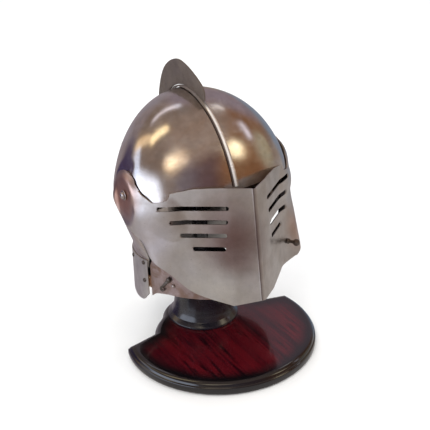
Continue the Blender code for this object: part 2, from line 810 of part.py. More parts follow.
def build_pivots():
    """Pivot rivets through visor, bevor and skull, with outer washers and inner burrs."""
    visor_face = PIVOT_FLAT_X + BEVOR_STANDOFF + VISOR_STANDOFF + 2 * SHEET
    washer_x = visor_face + 3 * GAP
    washer_depth = 0.9 * MM
    seat_x = washer_x + washer_depth + GAP
    burr_x = PIVOT_FLAT_X - SHEET - 4 * GAP
    burr_depth = 1 * MM
    inner_radius = PIVOT_SHANK_RADIUS + GAP
    for side, word in ((-1, "right"), (1, "left")):
        axis = (side, 0, 0)
        washer = [(inner_radius, 0), (6.2 * MM, 0), (6.2 * MM, 0.5 * MM), (5.7 * MM, washer_depth),
                  (inner_radius, washer_depth)]
        burr = [(inner_radius, -burr_depth), (5.5 * MM, -burr_depth), (5.5 * MM, 0), (inner_radius, 0)]
        reach = seat_x - burr_x + burr_depth + GAP
        rivet = rivet_profile(4.6 * MM, 3.2 * MM, PIVOT_SHANK_RADIUS, reach, 3.6 * MM)
        for name, x, maker, shape, steps, finish in (
                ("washer", washer_x, ring_solid, washer, 20, "satin_steel"),
                ("burr", burr_x, ring_solid, burr, 16, "dark_steel"),
                ("rivet", seat_x, lathe, rivet, 16, "satin_steel")):
            origin = (side * x, PIVOT_Y, PIVOT_Z)
            full_name = f"pivot_{name}_{word}"
            add_object(full_name, maker(full_name, shape, steps, turn_to(axis, origin)), finish, origin)


# ---------------------------------------------------------------- latch and peg
def plate(name, outline, thickness, origin, across, up):
    """Flat plate: an (across, up) outline thickened along the outward normal."""
    normal = across.cross(up)
    bm = bmesh.new()
    near = [bm.verts.new(origin + across * a + up * b) for a, b in outline]
    far = [bm.verts.new(origin + across * a + up * b + normal * thickness) for a, b in outline]
    bm.faces.new(near)
    bm.faces.new(far)
    join_rings(bm, near, far)
    return mesh_from_bmesh(name, bm)


def bevor_face(y, z):
    """Point and outward normal on the wearer's right cheek of the bevor."""
    point = Vector((-side_of(ring_plan(), y), y, z))
    return point, ring_normal(point)


def hook_outline():
    """Hook seen from outside: round eye at the pivot, tapering bar, turned-back tip."""
    eye = [(3.4 * math.cos(a), 3.4 * math.sin(a)) for a in spread(math.radians(-50), math.radians(230), 9)]
    bar = [(-2.0, -8), (-1.7, -14), (-2.3, -18.5), (0.4, -21.5), (4.3, -20.6), (5.2, -16.8), (3.4, -16.4),
           (2.6, -18.6), (0.9, -18.6), (1.2, -14), (1.8, -8)]
    return scaled(eye + bar)


def build_latch():
    point, outward = bevor_face(LATCH_Y, LATCH_Z)
    across = Vector((0, 0, 1)).cross(outward)
    seat = point + outward * LATCH_LIFT
    lean = Matrix.Rotation(LATCH_LEAN, 4, outward)
    up = lean @ Vector((0, 0, 1))
    across = lean @ across
    hook = plate("latch_hook", hook_outline(), LATCH_THICKNESS, seat, across, up)
    item = add_object("latch_hook", hook, "dark_steel", point)
    cut(item, bore("hook_eye_cutter", seat, outward, RIVET_BORE, 8 * MM))
    head_seat = point + outward * (LATCH_LIFT + LATCH_THICKNESS + GAP)
    reach = LATCH_LIFT + LATCH_THICKNESS + GAP + SHEET + 2 * GAP
    screw = rivet_profile(3 * MM, 1.6 * MM, RIVET_SHANK, reach, 2.6 * MM)
    screw = lathe("latch_rivet", screw, 12, turn_to(outward, head_seat))
    add_object("latch_rivet", screw, "dark_steel", head_seat)
    stud_point, stud_out = bevor_face(STUD_Y, STUD_Z)
    stud_seat = stud_point + stud_out * GAP
    stud = rivet_profile(2.3 * MM, 1.8 * MM, RIVET_SHANK, SHEET + 3 * GAP, 2.4 * MM)
    stud = lathe("latch_stud", stud, 10, turn_to(stud_out, stud_seat))
    add_object("latch_stud", stud, "satin_steel", stud_seat)


def latch_bores():
    made = []
    for name, y, z in (("latch_bore_cutter", LATCH_Y, LATCH_Z), ("stud_bore_cutter", STUD_Y, STUD_Z)):
        point, outward = bevor_face(y, z)
        made.append(bore(name, point, outward, RIVET_BORE, 12 * MM))
    return made


def visor_left_face(y, z):
    """Point and outward normal on the wearer's left panel of the visor."""
    def at(y_here, z_here):
        return Vector((visor_side(y_here, z_here, flared_side), y_here, z_here))
    point = at(y, z)
    step = 1 * MM
    normal = (at(y + step, z) - at(y - step, z)).cross(at(y, z + step) - at(y, z - step)).normalized()
    if normal.x < 0:
        normal.negate()
    return point, normal


def build_peg():
    point, outward = visor_left_face(PEG_Y, PEG_Z)
    seat = point + outward * 3 * GAP
    profile = [(0, -8), (2, -8), (2, 0), (3.4, 0), (3.4, 1.2), (2.2, 2.2), (1.9, 6), (2.4, 8.5), (4, 11),
               (4.3, 13.5), (3.4, 15.6), (0, 16.6)]
    peg = lathe("lifting_peg", scaled(profile), 12, turn_to(outward, seat))
    add_object("lifting_peg", peg, "dark_steel", seat)
    nut_seat = point - outward * (SHEET + 4 * GAP)
    nut = scaled([(2.8, -3), (5, -3), (5, 0), (2.8, 0)])
    add_object("peg_nut", ring_solid("peg_nut", nut, 6, turn_to(outward, nut_seat)), "dark_steel", nut_seat)


# ---------------------------------------------------------------- liner and straps
def build_liner(rivet_bores):
    steps = 32
    bm = bmesh.new()
    rings = []
    thick = LINER_THICKNESS
    for angle in [2 * math.pi * step / steps for step in range(steps)]:
        corners = []
        for z, inset in ((BAND_BOTTOM_Z, 0), (BAND_TOP_Z, 0), (BAND_TOP_Z, thick), (BAND_BOTTOM_Z, thick)):
            corners.append(bm.verts.new(plan_point(section(z, -LINER_CLEARANCE - inset), angle, z)))
        rings.append(corners)
    for index in range(len(rings)):
        join_rings(bm, rings[index], rings[(index + 1) % len(rings)])
    item = add_object("liner_band", mesh_from_bmesh("liner_band", bm), "leather")
    for hole in rivet_bores:
        cut(item, hole)

    inset = LINER_CLEARANCE + LINER_THICKNESS + STRAP_CLEARANCE
    wide = STRAP_HALF_WIDTH
    strap = [(-wide, -thick), (wide, -thick), (wide, 0), (-wide, 0)]
    low = BAND_BOTTOM_Z + 3 * MM
    start = math.asin((low - SKULL_LEVEL_Z) / SKULL_RISE)
    lifts = spread(start, math.pi / 2, 8)
    path = [(middle_profile(lift_z(lift), False), lift_z(lift)) for lift in lifts]
    path += [(middle_profile(lift_z(lift), True), lift_z(lift)) for lift in lifts[::-1][1:]]
    stations = []
    for (y, z), up in zip(path, path_normals(path)):
        stations.append((Vector((0, y, z)) - up * inset, Vector((1, 0, 0)), up))
    add_object("liner_strap_long", sweep("liner_strap_long", stations, strap), "leather")

    inset += LINER_THICKNESS + STRAP_CLEARANCE
    half = [(side_of(section(lift_z(lift)), CROWN_Y), lift_z(lift)) for lift in lifts]
    arch = [(-x, z) for x, z in half] + half[::-1][1:]
    stations = []
    for (x, z), up in zip(arch, path_normals(arch)):
        outward = Vector((up.y, 0, up.z))
        stations.append((Vector((x, CROWN_Y, z)) - outward * inset, Vector((0, 1, 0)), outward))
    add_object("liner_strap_cross", sweep("liner_strap_cross", stations, strap), "leather")


def lift_z(lift):
    return SKULL_LEVEL_Z + SKULL_RISE * math.sin(lift)


def strap_path(side, end_angle, inset):
    """Chin strap centre line from the collar forwards, rising to the chin."""
    stations = []
    start = math.radians(92)
    for angle in spread(start, end_angle, 12):
        weight = 1 - angle / start
        tuck = SHEET + 2 * GAP + inset * smooth(weight * 1.6)
        length = mix(RING_FRONT - tuck, CHIN_REACH - inset, smooth(weight * 1.6))
        plan = (RING_Y, length, RING_BACK - tuck, RING_HALF_WIDTH - tuck, 2, 2)
        point = plan_point(plan, angle, mix(STRAP_RIVET_Z, CHIN_Z, smooth(weight * 1.3)))
        point.x *= side
        stations.append(point)
    result = []
    for index, point in enumerate(stations):
        before, after = stations[max(index - 1, 0)], stations[min(index + 1, len(stations) - 1)]
        along = after - before
        outward = Vector((along.y, -along.x, 0)).normalized()
        if outward.dot(point - Vector((0, RING_Y, point.z))) < 0:
            outward.negate()
        result.append((point, outward, Vector((0, 0, 1))))
    return result


def build_chin_strap(bores):
    half = CHIN_STRAP_HALF
    thick = 2.2 * MM
    profile = [(-thick, -half), (0, -half), (0, half), (-thick, half)]
    overlap = math.radians(-6)
    for side, word, inset in ((-1, "right", 0), (1, "left", thick + 2 * GAP)):
        path = strap_path(side, overlap, inset)
        item = add_object(f"chin_strap_{word}", sweep(f"chin_strap_{word}", path, profile), "leather")
        for hole in bores:
            cut(item, hole)
    front = RING_Y - CHIN_REACH
    depth = 2 * thick + 2 * GAP
    margin = 2 * GAP
    inner_low, inner_high = front - margin, front + depth + margin
    bar = 2 * MM
    reach = half + margin

    def window(grow):
        low, high = inner_low - grow, inner_high + grow
        return [(low, CHIN_Z - reach - grow), (high, CHIN_Z - reach - grow),
                (high, CHIN_Z + reach + grow), (low, CHIN_Z + reach + grow)]
    item = add_object("chin_buckle", prism("chin_buckle", window(bar), -2.5 * MM, 2.5 * MM), "satin_steel")
    cut(item, cutter_prism("buckle_window_cutter", window(0), -6 * MM, 6 * MM))


# ---------------------------------------------------------------- stand
def plaque_outline(inset):
    """Plan outline: round front, two shoulders, smaller round back that reaches behind the neck."""
    front = PLAQUE_FRONT_RADIUS - inset
    back = PLAQUE_BACK_RADIUS - inset
    corner = PLAQUE_CORNER - inset / front
    shoulder = PLAQUE_SHOULDER - 0.6 * inset / back
    points = [(front * math.sin(a), -front * math.cos(a)) for a in spread(-corner, corner, 31)]
    for angle in spread(shoulder, 2 * math.pi - shoulder, 17):
        reach = back + PLAQUE_BACK_REACH * smooth((-math.cos(angle) - 0.8) / 0.2)
        points.append((reach * math.sin(angle), -reach * math.cos(angle)))
    return points


def build_stand():
    top, bottom = PLAQUE_TOP_Z, PLAQUE_BOTTOM_Z
    levels = [(bottom, 0), (bottom + 9 * MM, 0), (bottom + 9.6 * MM, 1.6 * MM), (bottom + 13 * MM, 3 * MM),
              (top, 7 * MM)]
    rings = [[Vector((x, y, z)) for x, y in plaque_outline(inset)] for z, inset in levels]
    plaque = add_object("stand_plaque", loft("stand_plaque", rings), "lacquered_wood")
    pad = [[Vector((x, y, z)) for x, y in plaque_outline(6 * MM)] for z in (0, FELT_THICKNESS)]
    add_object("stand_felt", loft("stand_felt", pad), "felt")

    foot = top + GAP
    r = NECK_RADIUS
    profile = [(0, foot), (NECK_FOOT_RADIUS, foot), (NECK_FOOT_RADIUS, foot + 3 * MM),
               (r + 3 * MM, foot + 8 * MM), (r, foot + 17 * MM), (r - 2 * MM, foot + 35 * MM),
               (r, NECK_TOP_Z - 14 * MM), (r - 1.5 * MM, NECK_TOP_Z - 5 * MM), (r - 6 * MM, NECK_TOP_Z),
               (POST_RADIUS + GAP, NECK_TOP_Z), (POST_RADIUS + GAP, NECK_TOP_Z - POST_SINK),
               (0, NECK_TOP_Z - POST_SINK)]
    axis = Matrix.Translation((0, NECK_Y, 0))
    neck_mesh = lathe("stand_neck", profile, 24, axis)
    neck = add_object("stand_neck", neck_mesh, "black_lacquer", (0, NECK_Y, foot))
    post_bottom = NECK_TOP_Z - POST_SINK + GAP
    post_shape = [(0, post_bottom), (POST_RADIUS, post_bottom), (POST_RADIUS, POST_TOP_Z), (0, POST_TOP_Z)]
    add_object("support_post", lathe("support_post", post_shape, 16, axis), "black_lacquer",
               (0, NECK_Y, post_bottom))
    pad_axis = Matrix.Translation((0, PAD_Y, 0))
    low = POST_TOP_Z + GAP
    wide = PAD_RADIUS
    pad_shape = [(0, low), (wide - 2 * MM, low), (wide, low + 2 * MM), (wide, low + 6 * MM),
                 (wide - 5 * MM, low + 9.5 * MM), (wide - 12 * MM, low + 11 * MM), (0, low + 11.3 * MM)]
    add_object("crown_pad", lathe("crown_pad", pad_shape, 24, pad_axis), "felt", (0, PAD_Y, low))

    for index in range(3):
        angle = 2 * math.pi * index / 3 + math.pi / 2
        x, y = SCREW_CIRCLE * math.cos(angle), NECK_Y + SCREW_CIRCLE * math.sin(angle)
        placement = Matrix.Translation((x, y, bottom))
        hole = [(4.6 * MM, -1 * MM), (4.6 * MM, 2.8 * MM), (2.4 * MM, 5 * MM), (2.4 * MM, 46 * MM)]
        cutter_mesh = lathe("screw_cutter", hole, 12, placement)
        cutter = bpy.data.objects.new(f"neck_screw_cutter_{index + 1}", cutter_mesh)
        bpy.context.scene.collection.objects.link(cutter)
        hide_cutter(cutter)
        cut(plaque, cutter)
        cut(neck, cutter)
        screw = [(0, 0.3 * MM), (4 * MM, 0.3 * MM), (4 * MM, 2 * MM), (2 * MM, 4.2 * MM), (2 * MM, 42 * MM),
                 (0, 45 * MM)]
        name = f"neck_screw_{index + 1}"
        add_object(name, lathe(name, screw, 12, placement), "dark_steel", (x, y, bottom))


# ---------------------------------------------------------------- run
def main():
    clear_scene()
    pivot_bore = bore("pivot_bore_cutter", (0, PIVOT_Y, PIVOT_Z), (1, 0, 0), PIVOT_HOLE_RADIUS, 320 * MM)
    peg_point, peg_out = visor_left_face(PEG_Y, PEG_Z)
    peg_bore = bore("peg_bore_cutter", peg_point, peg_out, 2.4 * MM, 14 * MM)
    collar_bores = [bore(f"collar_bore_cutter_{i + 1}", p, d, RIVET_BORE, 12 * MM)
                    for i, (p, d) in enumerate(collar_rivet_places())]
    strap_bores = [bore(f"strap_bore_cutter_{i + 1}", p, d, RIVET_BORE, 16 * MM)
                   for i, (p, d) in enumerate(strap_rivet_places())]
    liner_bores = [bore(f"liner_bore_cutter_{i + 1}", p, d, RIVET_BORE, 34 * MM)
                   for i, (p, d) in enumerate(liner_rivet_places())]
    build_stand()
    build_skull(pivot_bore, liner_bores + collar_bores)
    build_crest()
    build_neck_guard(collar_bores + strap_bores)
    head = 2.6 * MM
    height = 1.6 * MM
    small_rivets("neck_guard_rivet", collar_rivet_places(), head, height, 2 * SHEET + 4 * GAP, "satin_steel")
    small_rivets("strap_rivet", strap_rivet_places(), head, height, SHEET + 2.2 * MM + 6 * GAP, "satin_steel")
    build_pivots()
    build_liner(liner_bores)
    liner_reach = LINER_CLEARANCE + LINER_THICKNESS + 2 * GAP
    small_rivets("liner_rivet", liner_rivet_places(), head, height, liner_reach, "satin_steel")
    build_chin_strap(strap_bores)
    build_bevor([pivot_bore] + latch_bores())
    build_latch()
    build_visor(pivot_bore, peg_bore)
    build_peg()


main()
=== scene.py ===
"""Looks for the knight helmet on its display stand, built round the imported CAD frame.

The steel sheets, the crest, the stand, the straps and the larger fasteners are rebuilt as finer meshes
of the same shapes, and every piece gets a procedural material.
"""
import json
import math

import bmesh
import bpy
from mathutils import Matrix, Vector
from mathutils.bvhtree import BVHTree
from mathutils.geometry import barycentric_transform


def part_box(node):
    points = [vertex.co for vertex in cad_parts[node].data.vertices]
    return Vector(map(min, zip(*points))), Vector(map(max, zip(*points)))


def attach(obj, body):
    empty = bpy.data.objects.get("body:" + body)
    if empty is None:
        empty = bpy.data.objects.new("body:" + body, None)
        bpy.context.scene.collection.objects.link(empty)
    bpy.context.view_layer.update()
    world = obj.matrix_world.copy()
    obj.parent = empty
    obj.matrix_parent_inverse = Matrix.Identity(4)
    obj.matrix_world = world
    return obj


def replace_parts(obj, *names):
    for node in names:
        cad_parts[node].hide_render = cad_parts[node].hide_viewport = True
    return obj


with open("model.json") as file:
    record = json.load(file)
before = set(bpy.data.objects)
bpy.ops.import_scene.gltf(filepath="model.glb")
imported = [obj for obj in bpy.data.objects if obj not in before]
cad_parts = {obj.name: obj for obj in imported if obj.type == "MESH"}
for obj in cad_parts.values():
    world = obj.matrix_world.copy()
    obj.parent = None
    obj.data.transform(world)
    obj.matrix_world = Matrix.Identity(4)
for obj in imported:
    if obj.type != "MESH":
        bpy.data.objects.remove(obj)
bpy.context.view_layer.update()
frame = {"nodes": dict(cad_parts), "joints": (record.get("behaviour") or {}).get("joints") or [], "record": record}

MM = 0.001
UP = Vector((0, 0, 1))
ACROSS = Vector((1, 0, 0))
record = frame["record"]
BODY_OF = {node: body for body, nodes in record["behaviour"]["bodies"].items() for node in nodes}
JOINT = {joint["name"]: joint for joint in frame["joints"]}


def low(node):
    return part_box(node)[0]


def high(node):
    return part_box(node)[1]


# ---------------------------------------------------------------- sizes taken from the CAD frame
PIVOT_Y, PIVOT_Z = JOINT["visor_lift"]["pos_m"][1:]
LATCH_POINT = Vector(JOINT["latch_swing"]["pos_m"])
GAP = 0.3 * MM
SHEET = 1.2 * MM
SKULL_LEVEL_Z = 183 * MM
SKULL_RISE = high("skull_left").z - SKULL_LEVEL_Z
SKULL_HALF_WIDTH = 113.3 * MM
SKULL_FRONT = 85 * MM
SKULL_BACK = 127.4 * MM
CROWN_Y = 65.4 * MM
SKULL_SHIFT = 33 * MM
WIDTH_POWER = 0.88
FRONT_EXPONENT = 2.1
BACK_EXPONENT = 1.8
TAPER_TOP_Z = 216 * MM
TAPER_END_Z = 138 * MM
TAPER_EASE = 0.23
SKULL_LAP = 9 * MM
PIVOT_FLAT_X = 104.3 * MM
FLAT_DROP = 16 * MM
FLAT_RADIUS = 16 * MM
FLAT_EASE = 12 * MM
SWEEP_RADIUS = 29 * MM
SWEEP_RELIEF = 3 * MM
SEAT_RADIUS = 7 * MM
PIVOT_HOLE_RADIUS = 2.8 * MM
PIVOT_SHANK_RADIUS = 2.4 * MM
BEVOR_STANDOFF = 1.0 * MM
VISOR_STANDOFF = 0.9 * MM
KEEL_TOP_Y = -86.1 * MM
KEEL_TOP_Z = 248.4 * MM
KEEL_LEAN = 0.132
NOSE_DEPTH = 17.7 * MM
NOSE_SPREAD = 1.42
PANEL_SPREAD = 1.1
ARM_BLEND_FRONT_Y = -22 * MM
ARM_BLEND_LENGTH = 31 * MM
VISOR_REAR_Y = 60 * MM
VISOR_BOTTOM_Z = 96 * MM
VISOR_TOP_Z = 262 * MM
LOBE_RADIUS = 27.5 * MM
LOBE_OFFSET_Y = 4 * MM
LOBE_STANDOFF = 2.6 * MM
ARM_STANDOFF = 4.1 * MM
FLARE_RATE = 0.25
FLARE_TOP_Z = 213.5 * MM
FLARE_LIMIT_X = 101.5 * MM
FLARE_LIMIT_RISE = 7 * MM
FLARE_LIMIT_Y = -15 * MM
CREASE_DEPTH = 46.8 * MM
CREASE_WIDTH = 15 * MM
SLOT_FRONT_Y = -71.4 * MM
SLOT_TOP_Z = 223.7 * MM
SLOT_PITCH = 16.5 * MM
SLOT_FRONT_STEP = 0.5 * MM
SLOT_LENGTHS = [52.5 * MM, 42 * MM, 35.5 * MM, 25.5 * MM]
SLOT_SLOPE = 0.1
SLOT_HALF_HEIGHT = 2.7 * MM
RING_Y = 34.7 * MM
RING_HALF_WIDTH = high("neck_guard").x
RING_BACK = high("neck_guard").y - RING_Y
RING_FRONT = 99 * MM
RING_TOP_Z = 131 * MM
COLLAR_SLOPE = 0.17
COLLAR_START = math.radians(81)
NAPE_Z = 122 * MM
BROW_Z = 235 * MM
STRIP_HALF_WIDTH = high("crest_strip").x
STRIP_HEIGHT = 2.9 * MM
FIN_THICKNESS = 2 * high("crest_fin").x
PLAQUE_FRONT_RADIUS = -low("stand_plaque").y
PLAQUE_BACK_RADIUS = 85 * MM
PLAQUE_BACK_REACH = 13 * MM
PLAQUE_CORNER = math.radians(104)
PLAQUE_SHOULDER = math.radians(117)
PLAQUE_BOTTOM_Z = low("stand_plaque").z
PLAQUE_TOP_Z = high("stand_plaque").z
NECK_Y = (low("stand_neck").y + high("stand_neck").y) / 2
NECK_FOOT_RADIUS = high("stand_neck").x
NECK_RADIUS = 38 * MM
NECK_TOP_Z = high("stand_neck").z
POST_RADIUS = high("support_post").x
PAD_RADIUS = high("crown_pad").x
PAD_Y = (low("crown_pad").y + high("crown_pad").y) / 2
LINER_CLEARANCE = 8 * MM
LINER_THICKNESS = 2.5 * MM
BAND_BOTTOM_Z = low("liner_band").z
BAND_TOP_Z = high("liner_band").z
STRAP_HALF_WIDTH = high("liner_strap_long").x
STRAP_CLEARANCE = 2 * MM
CHIN_REACH = 62 * MM
CHIN_Z = 120 * MM
CHIN_STRAP_HALF = 8 * MM
RIVET_SHANK = 1.4 * MM
RIVET_BORE = 1.75 * MM
COLLAR_RIVET_DROP = 4.5 * MM
STRAP_RIVET_Z = 103 * MM
LATCH_LIFT = 1.2 * MM
LATCH_THICKNESS = 1.6 * MM
LATCH_LEAN = math.radians(-38)
STUD_Y = -20.5 * MM
STUD_Z = 113.5 * MM
PEG_Y = -46.6 * MM
PEG_Z = 144.4 * MM
PEG_BORE_RADIUS = 2.4 * MM
CHIN_STRAP_THICKNESS = 2.2 * MM
# Near-black strips inside the collar that stand for the shade in the gap to the bevor
GAP_SHADE_INSET = 5.2 * MM
GAP_SHADE_THICKNESS = 1.2 * MM
GAP_SHADE_HALF_HEIGHT = 23 * MM
GAP_SHADE_Z = 117 * MM
GAP_SHADE_DEGREES = {"right": (68, 108), "left": (68, 128)}
WASHER_DEPTH = 0.9 * MM
FACES_TO_RIM = 0.6
LENS_MM, SENSOR_MM, ROLL_DEGREES = 80.8, 36, -1.6
CAMERA_AIM = Vector((0, 0.0064, 0.177))
TOWARDS_CAMERA = Vector((-0.4397, -0.7803, 0.4446)).normalized()
CAMERA_DISTANCE = 1.18
FLOOR_REACH = 6.0
FLOOR_GAP = 0.05 * MM


# ---------------------------------------------------------------- small maths
def smooth(value):
    value = min(max(value, 0), 1)
    return value * value * (3 - 2 * value)


def mix(first, second, weight):
    return first + (second - first) * weight


def spread(start, end, count):
    return [start + (end - start) * index / (count - 1) for index in range(count)]


def facing(direction, towards):
    """Unit vector along a direction, turned to the side of another vector."""
    unit = direction.normalized()
    return -unit if unit.dot(towards) < 0 else unit


def both_sides(make_half):
    """Row of points from the wearer's right to the left; each half starts at the middle."""
    return make_half(-1)[::-1] + make_half(1)[1:]


def scaled(points):
    return [tuple(value * MM for value in point) for point in points]


def curve_through(points, steps=8):
    """Catmull-Rom curve through the points, with a number of steps to each span."""
    ends = [points[0]] + list(points) + [points[-1]]
    result = []
    for index in range(len(points) - 1):
        a, b, c, d = ends[index:index + 4]
        for step in range(steps):
            t = step / steps
            result.append(tuple(
                0.5 * (2 * q + (r - p) * t + (2 * p - 5 * q + 4 * r - s) * t * t
                       + (3 * q - p - 3 * r + s) * t ** 3)
                for p, q, r, s in zip(a, b, c, d)))
    result.append(tuple(points[-1]))
    return result


def curve(points):
    """Curve through points in millimetres."""
    return curve_through(scaled(points))


def fillet(points, radius, closed=False, steps=4):
    """Round the corners of a path of 2-D points."""
    result = []
    count = len(points)
    for index, point in enumerate(points):
        if not closed and index in (0, count - 1):
            result.append(tuple(point))
            continue
        here = Vector(point)
        before, after = Vector(points[index - 1]), Vector(points[(index + 1) % count])
        start = here + (before - here).normalized() * min(radius, (before - here).length * 0.45)
        end = here + (after - here).normalized() * min(radius, (after - here).length * 0.45)
        for t in spread(0, 1, steps + 1):
            result.append(tuple(start * (1 - t) ** 2 + here * 2 * t * (1 - t) + end * t * t))
    return result


# ---------------------------------------------------------------- mesh builders
def finish_mesh(bm, name="mesh"):
    bmesh.ops.recalc_face_normals(bm, faces=bm.faces)
    mesh = bpy.data.meshes.new(name)
    bm.to_mesh(mesh)
    bm.free()
    return mesh


def join_rings(bm, first, second):
    count = max(len(first), len(second))
    for index in range(count):
        following = (index + 1) % count
        corners = [first[index % len(first)], first[following % len(first)],
                   second[following % len(second)], second[index % len(second)]]
        bm.faces.new(list(dict.fromkeys(corners)))


def rings_mesh(rings, capped=True, looped=False):
    """Solid through rings of points; a ring of one point is a pole."""
    bm = bmesh.new()
    made = [[bm.verts.new(point) for point in ring] for ring in rings]
    for first, second in zip(made, made[1:]):
        join_rings(bm, first, second)
    if looped:
        join_rings(bm, made[-1], made[0])
    elif capped:
        for ring in (made[0], made[-1]):
            if len(ring) > 1:
                bm.faces.new(ring)
    return finish_mesh(bm)


def lathe(profile, placement, steps=64, looped=False):
    """Turned solid: (radius, height) points turned about Z, then placed; looped for a ring."""
    angles = [2 * math.pi * step / steps for step in range(steps)]
    rings = []
    for radius, height in profile:
        pole = radius < 1e-9
        rings.append([(0, 0, height)] if pole else
                     [(radius * math.cos(a), radius * math.sin(a), height) for a in angles])
    mesh = rings_mesh(rings, looped=looped)
    mesh.transform(placement)
    return mesh


def prism(outline, low_x=-0.16, high_x=0.16):
    """A side-view outline of (y, z) points, extruded along X."""
    return rings_mesh([[(x, y, z) for y, z in outline] for x in (low_x, high_x)])


def sweep(stations, section):
    """Bar: a section of (across, up) points carried along (point, across, up) stations."""
    return rings_mesh([[point + across * a + up * b for a, b in section] for point, across, up in stations])


def turn_to(direction, origin):
    rotation = UP.rotation_difference(Vector(direction)).to_matrix().to_4x4()
    return Matrix.Translation(origin) @ rotation


def joined(meshes):
    bm = bmesh.new()
    for mesh in meshes:
        bm.from_mesh(mesh)
        bpy.data.meshes.remove(mesh)
    result = bpy.data.meshes.new("joined")
    bm.to_mesh(result)
    bm.free()
    return result


def applied(item):
    """The item's mesh with its modifiers applied; the item itself is removed."""
    bpy.context.view_layer.update()
    graph = bpy.context.evaluated_depsgraph_get()
    mesh = bpy.data.meshes.new_from_object(item.evaluated_get(graph))
    bpy.data.objects.remove(item, do_unlink=True)
    return mesh


def linked(name, data):
    item = bpy.data.objects.new(name, data)
    bpy.context.scene.collection.objects.link(item)
    return item


def carve(mesh, *cuts, within=None):
    """Keep what lies within a mesh, then take away each list of cutter meshes, by exact Booleans."""
    item = linked("carving", mesh)
    steps = [("INTERSECT", [within])] if within else []
    steps += [("DIFFERENCE", shapes) for shapes in cuts]
    cutters = []
    for operation, shapes in steps:
        cutter = linked("cutter", joined(shapes))
        cutters.append(cutter)
        change = item.modifiers.new("carve", "BOOLEAN")
        change.object = cutter
        change.operation = operation
        change.solver = "EXACT"
    result = applied(item)
    for cutter in cutters:
        bpy.data.objects.remove(cutter, do_unlink=True)
    return result


def bevelled(mesh, width, segments=2):
    """Round the sharp edges of a mesh."""
    item = linked("bevelling", mesh)
    change = item.modifiers.new("edges", "BEVEL")
    change.width = width
    change.segments = segments
    change.limit_method = "ANGLE"
    change.angle_limit = math.radians(40)
    return applied(item)


def grid_faces(grid):
    """Corner lists of a grid's cells, in the order of its flattened points."""
    starts, total = [], 0
    for row in grid:
        starts.append(total)
        total += len(row)
    faces = []
    for index in range(len(grid) - 1):
        lower, upper = grid[index], grid[index + 1]
        for column in range(len(lower) - 1):
            corners = [starts[index] + column, starts[index] + column + 1,
                       starts[index + 1] + min(column + 1, len(upper) - 1),
                       starts[index + 1] + min(column, len(upper) - 1)]
            faces.append(list(dict.fromkeys(corners)))
    return faces


def offset_grid(grid, distance, heart):
    """Each point of a grid moved along its normal, towards the head."""
    result = []
    for row_index, row in enumerate(grid):
        moved = []
        for index, point in enumerate(row):
            before, after = row[max(index - 1, 0)], row[min(index + 1, len(row) - 1)]
            below = grid[max(row_index - 1, 0)][index]
            upper = grid[min(row_index + 1, len(grid) - 1)]
            normal = (after - before).cross(upper[min(index, len(upper) - 1)] - below)
            if normal.length <= 1e-14:
                normal = UP
            moved.append(point - facing(normal, point - heart) * distance)
        result.append(moved)
    return result


def sheet_shell(outer, inner):
    """Closed sheet between two grids of points."""
    bm = bmesh.new()
    sides = []
    for grid in (outer, inner):
        verts = [bm.verts.new(point) for row in grid for point in row]
        for corners in grid_faces(grid):
            bm.faces.new([verts[index] for index in corners])
        rows, total = [], 0
        for row in grid:
            rows.append(verts[total:total + len(row)])
            total += len(row)
        sides.append(rows)
    out, back = sides
    rims = [(out[0], back[0]), ([row[0] for row in out], [row[0] for row in back]),
            ([row[-1] for row in out], [row[-1] for row in back])]
    if len(out[-1]) > 1:
        rims.append((out[-1], back[-1]))
    for first, second in rims:
        for index in range(len(first) - 1):
            bm.faces.new((first[index], first[index + 1], second[index + 1], second[index]))
    return finish_mesh(bm)


def guide_normals(mesh, grid):
    """Shade a cut sheet with the smooth normals of its uncut outer grid; cut rims stay flat.

    Rim faces get the second material slot, the bright cut edge; inner faces get the third, left black, which also
    stands for the shade inside.
    """
    points = [point for row in grid for point in row]
    triangles = []
    for corners in grid_faces(grid):
        for index in range(1, len(corners) - 1):
            triangles.append((corners[0], corners[index], corners[index + 1]))
    normals = [Vector() for _ in points]
    for a, b, c in triangles:
        normal = (points[b] - points[a]).cross(points[c] - points[a])
        for corner in (a, b, c):
            normals[corner] += normal
    tree = BVHTree.FromPolygons(points, triangles)
    normals = [normal.normalized() for normal in normals]

    def at(place):
        spot, _, index, _ = tree.find_nearest(place)
        a, b, c = triangles[index]
        return barycentric_transform(spot, points[a], points[b], points[c],
                                     normals[a], normals[b], normals[c]).normalized()

    found = [at(vertex.co) for vertex in mesh.vertices]
    mesh.shade_smooth()
    loops = [Vector()] * len(mesh.loops)
    for polygon in mesh.polygons:
        facing = polygon.normal.dot(at(polygon.center))
        rim = abs(facing) < FACES_TO_RIM
        if rim:
            polygon.material_index = 1
        elif facing < 0:
            polygon.material_index = 2
        for loop in polygon.loop_indices:
            if rim:
                loops[loop] = polygon.normal.copy()
            else:
                loops[loop] = found[mesh.loops[loop].vertex_index] * math.copysign(1, facing)
    mesh.normals_split_custom_set(loops)


MATERIALS = {}


def extra(name, mesh, node, *finishes, crisp=35):
    """A shown piece that rides on a CAD node's body, with the given finishes as its materials."""
    item = linked(name, mesh)
    mesh.name = name
    mesh.materials.clear()
    for finish in finishes:
        mesh.materials.append(MATERIALS[finish])
    if crisp:
        mesh.shade_smooth()
        mesh.set_sharp_from_angle(angle=math.radians(crisp))
    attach(item, BODY_OF[node])
    return item


def piece(name, mesh, node, *finishes, crisp=35):
    """A shown piece that stands for a CAD node."""
    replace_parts(extra(name, mesh, node, *finishes, crisp=crisp), node)


def sheet_piece(name, mesh, grid, node, finish):
    """A cut steel sheet: its face, its bright cut edge and its black inside, which also stands for the shade
    inside.
    """
    guide_normals(mesh, grid)
    piece(name, mesh, node, finish, "cut_edge", "inner_black", crisp=0)


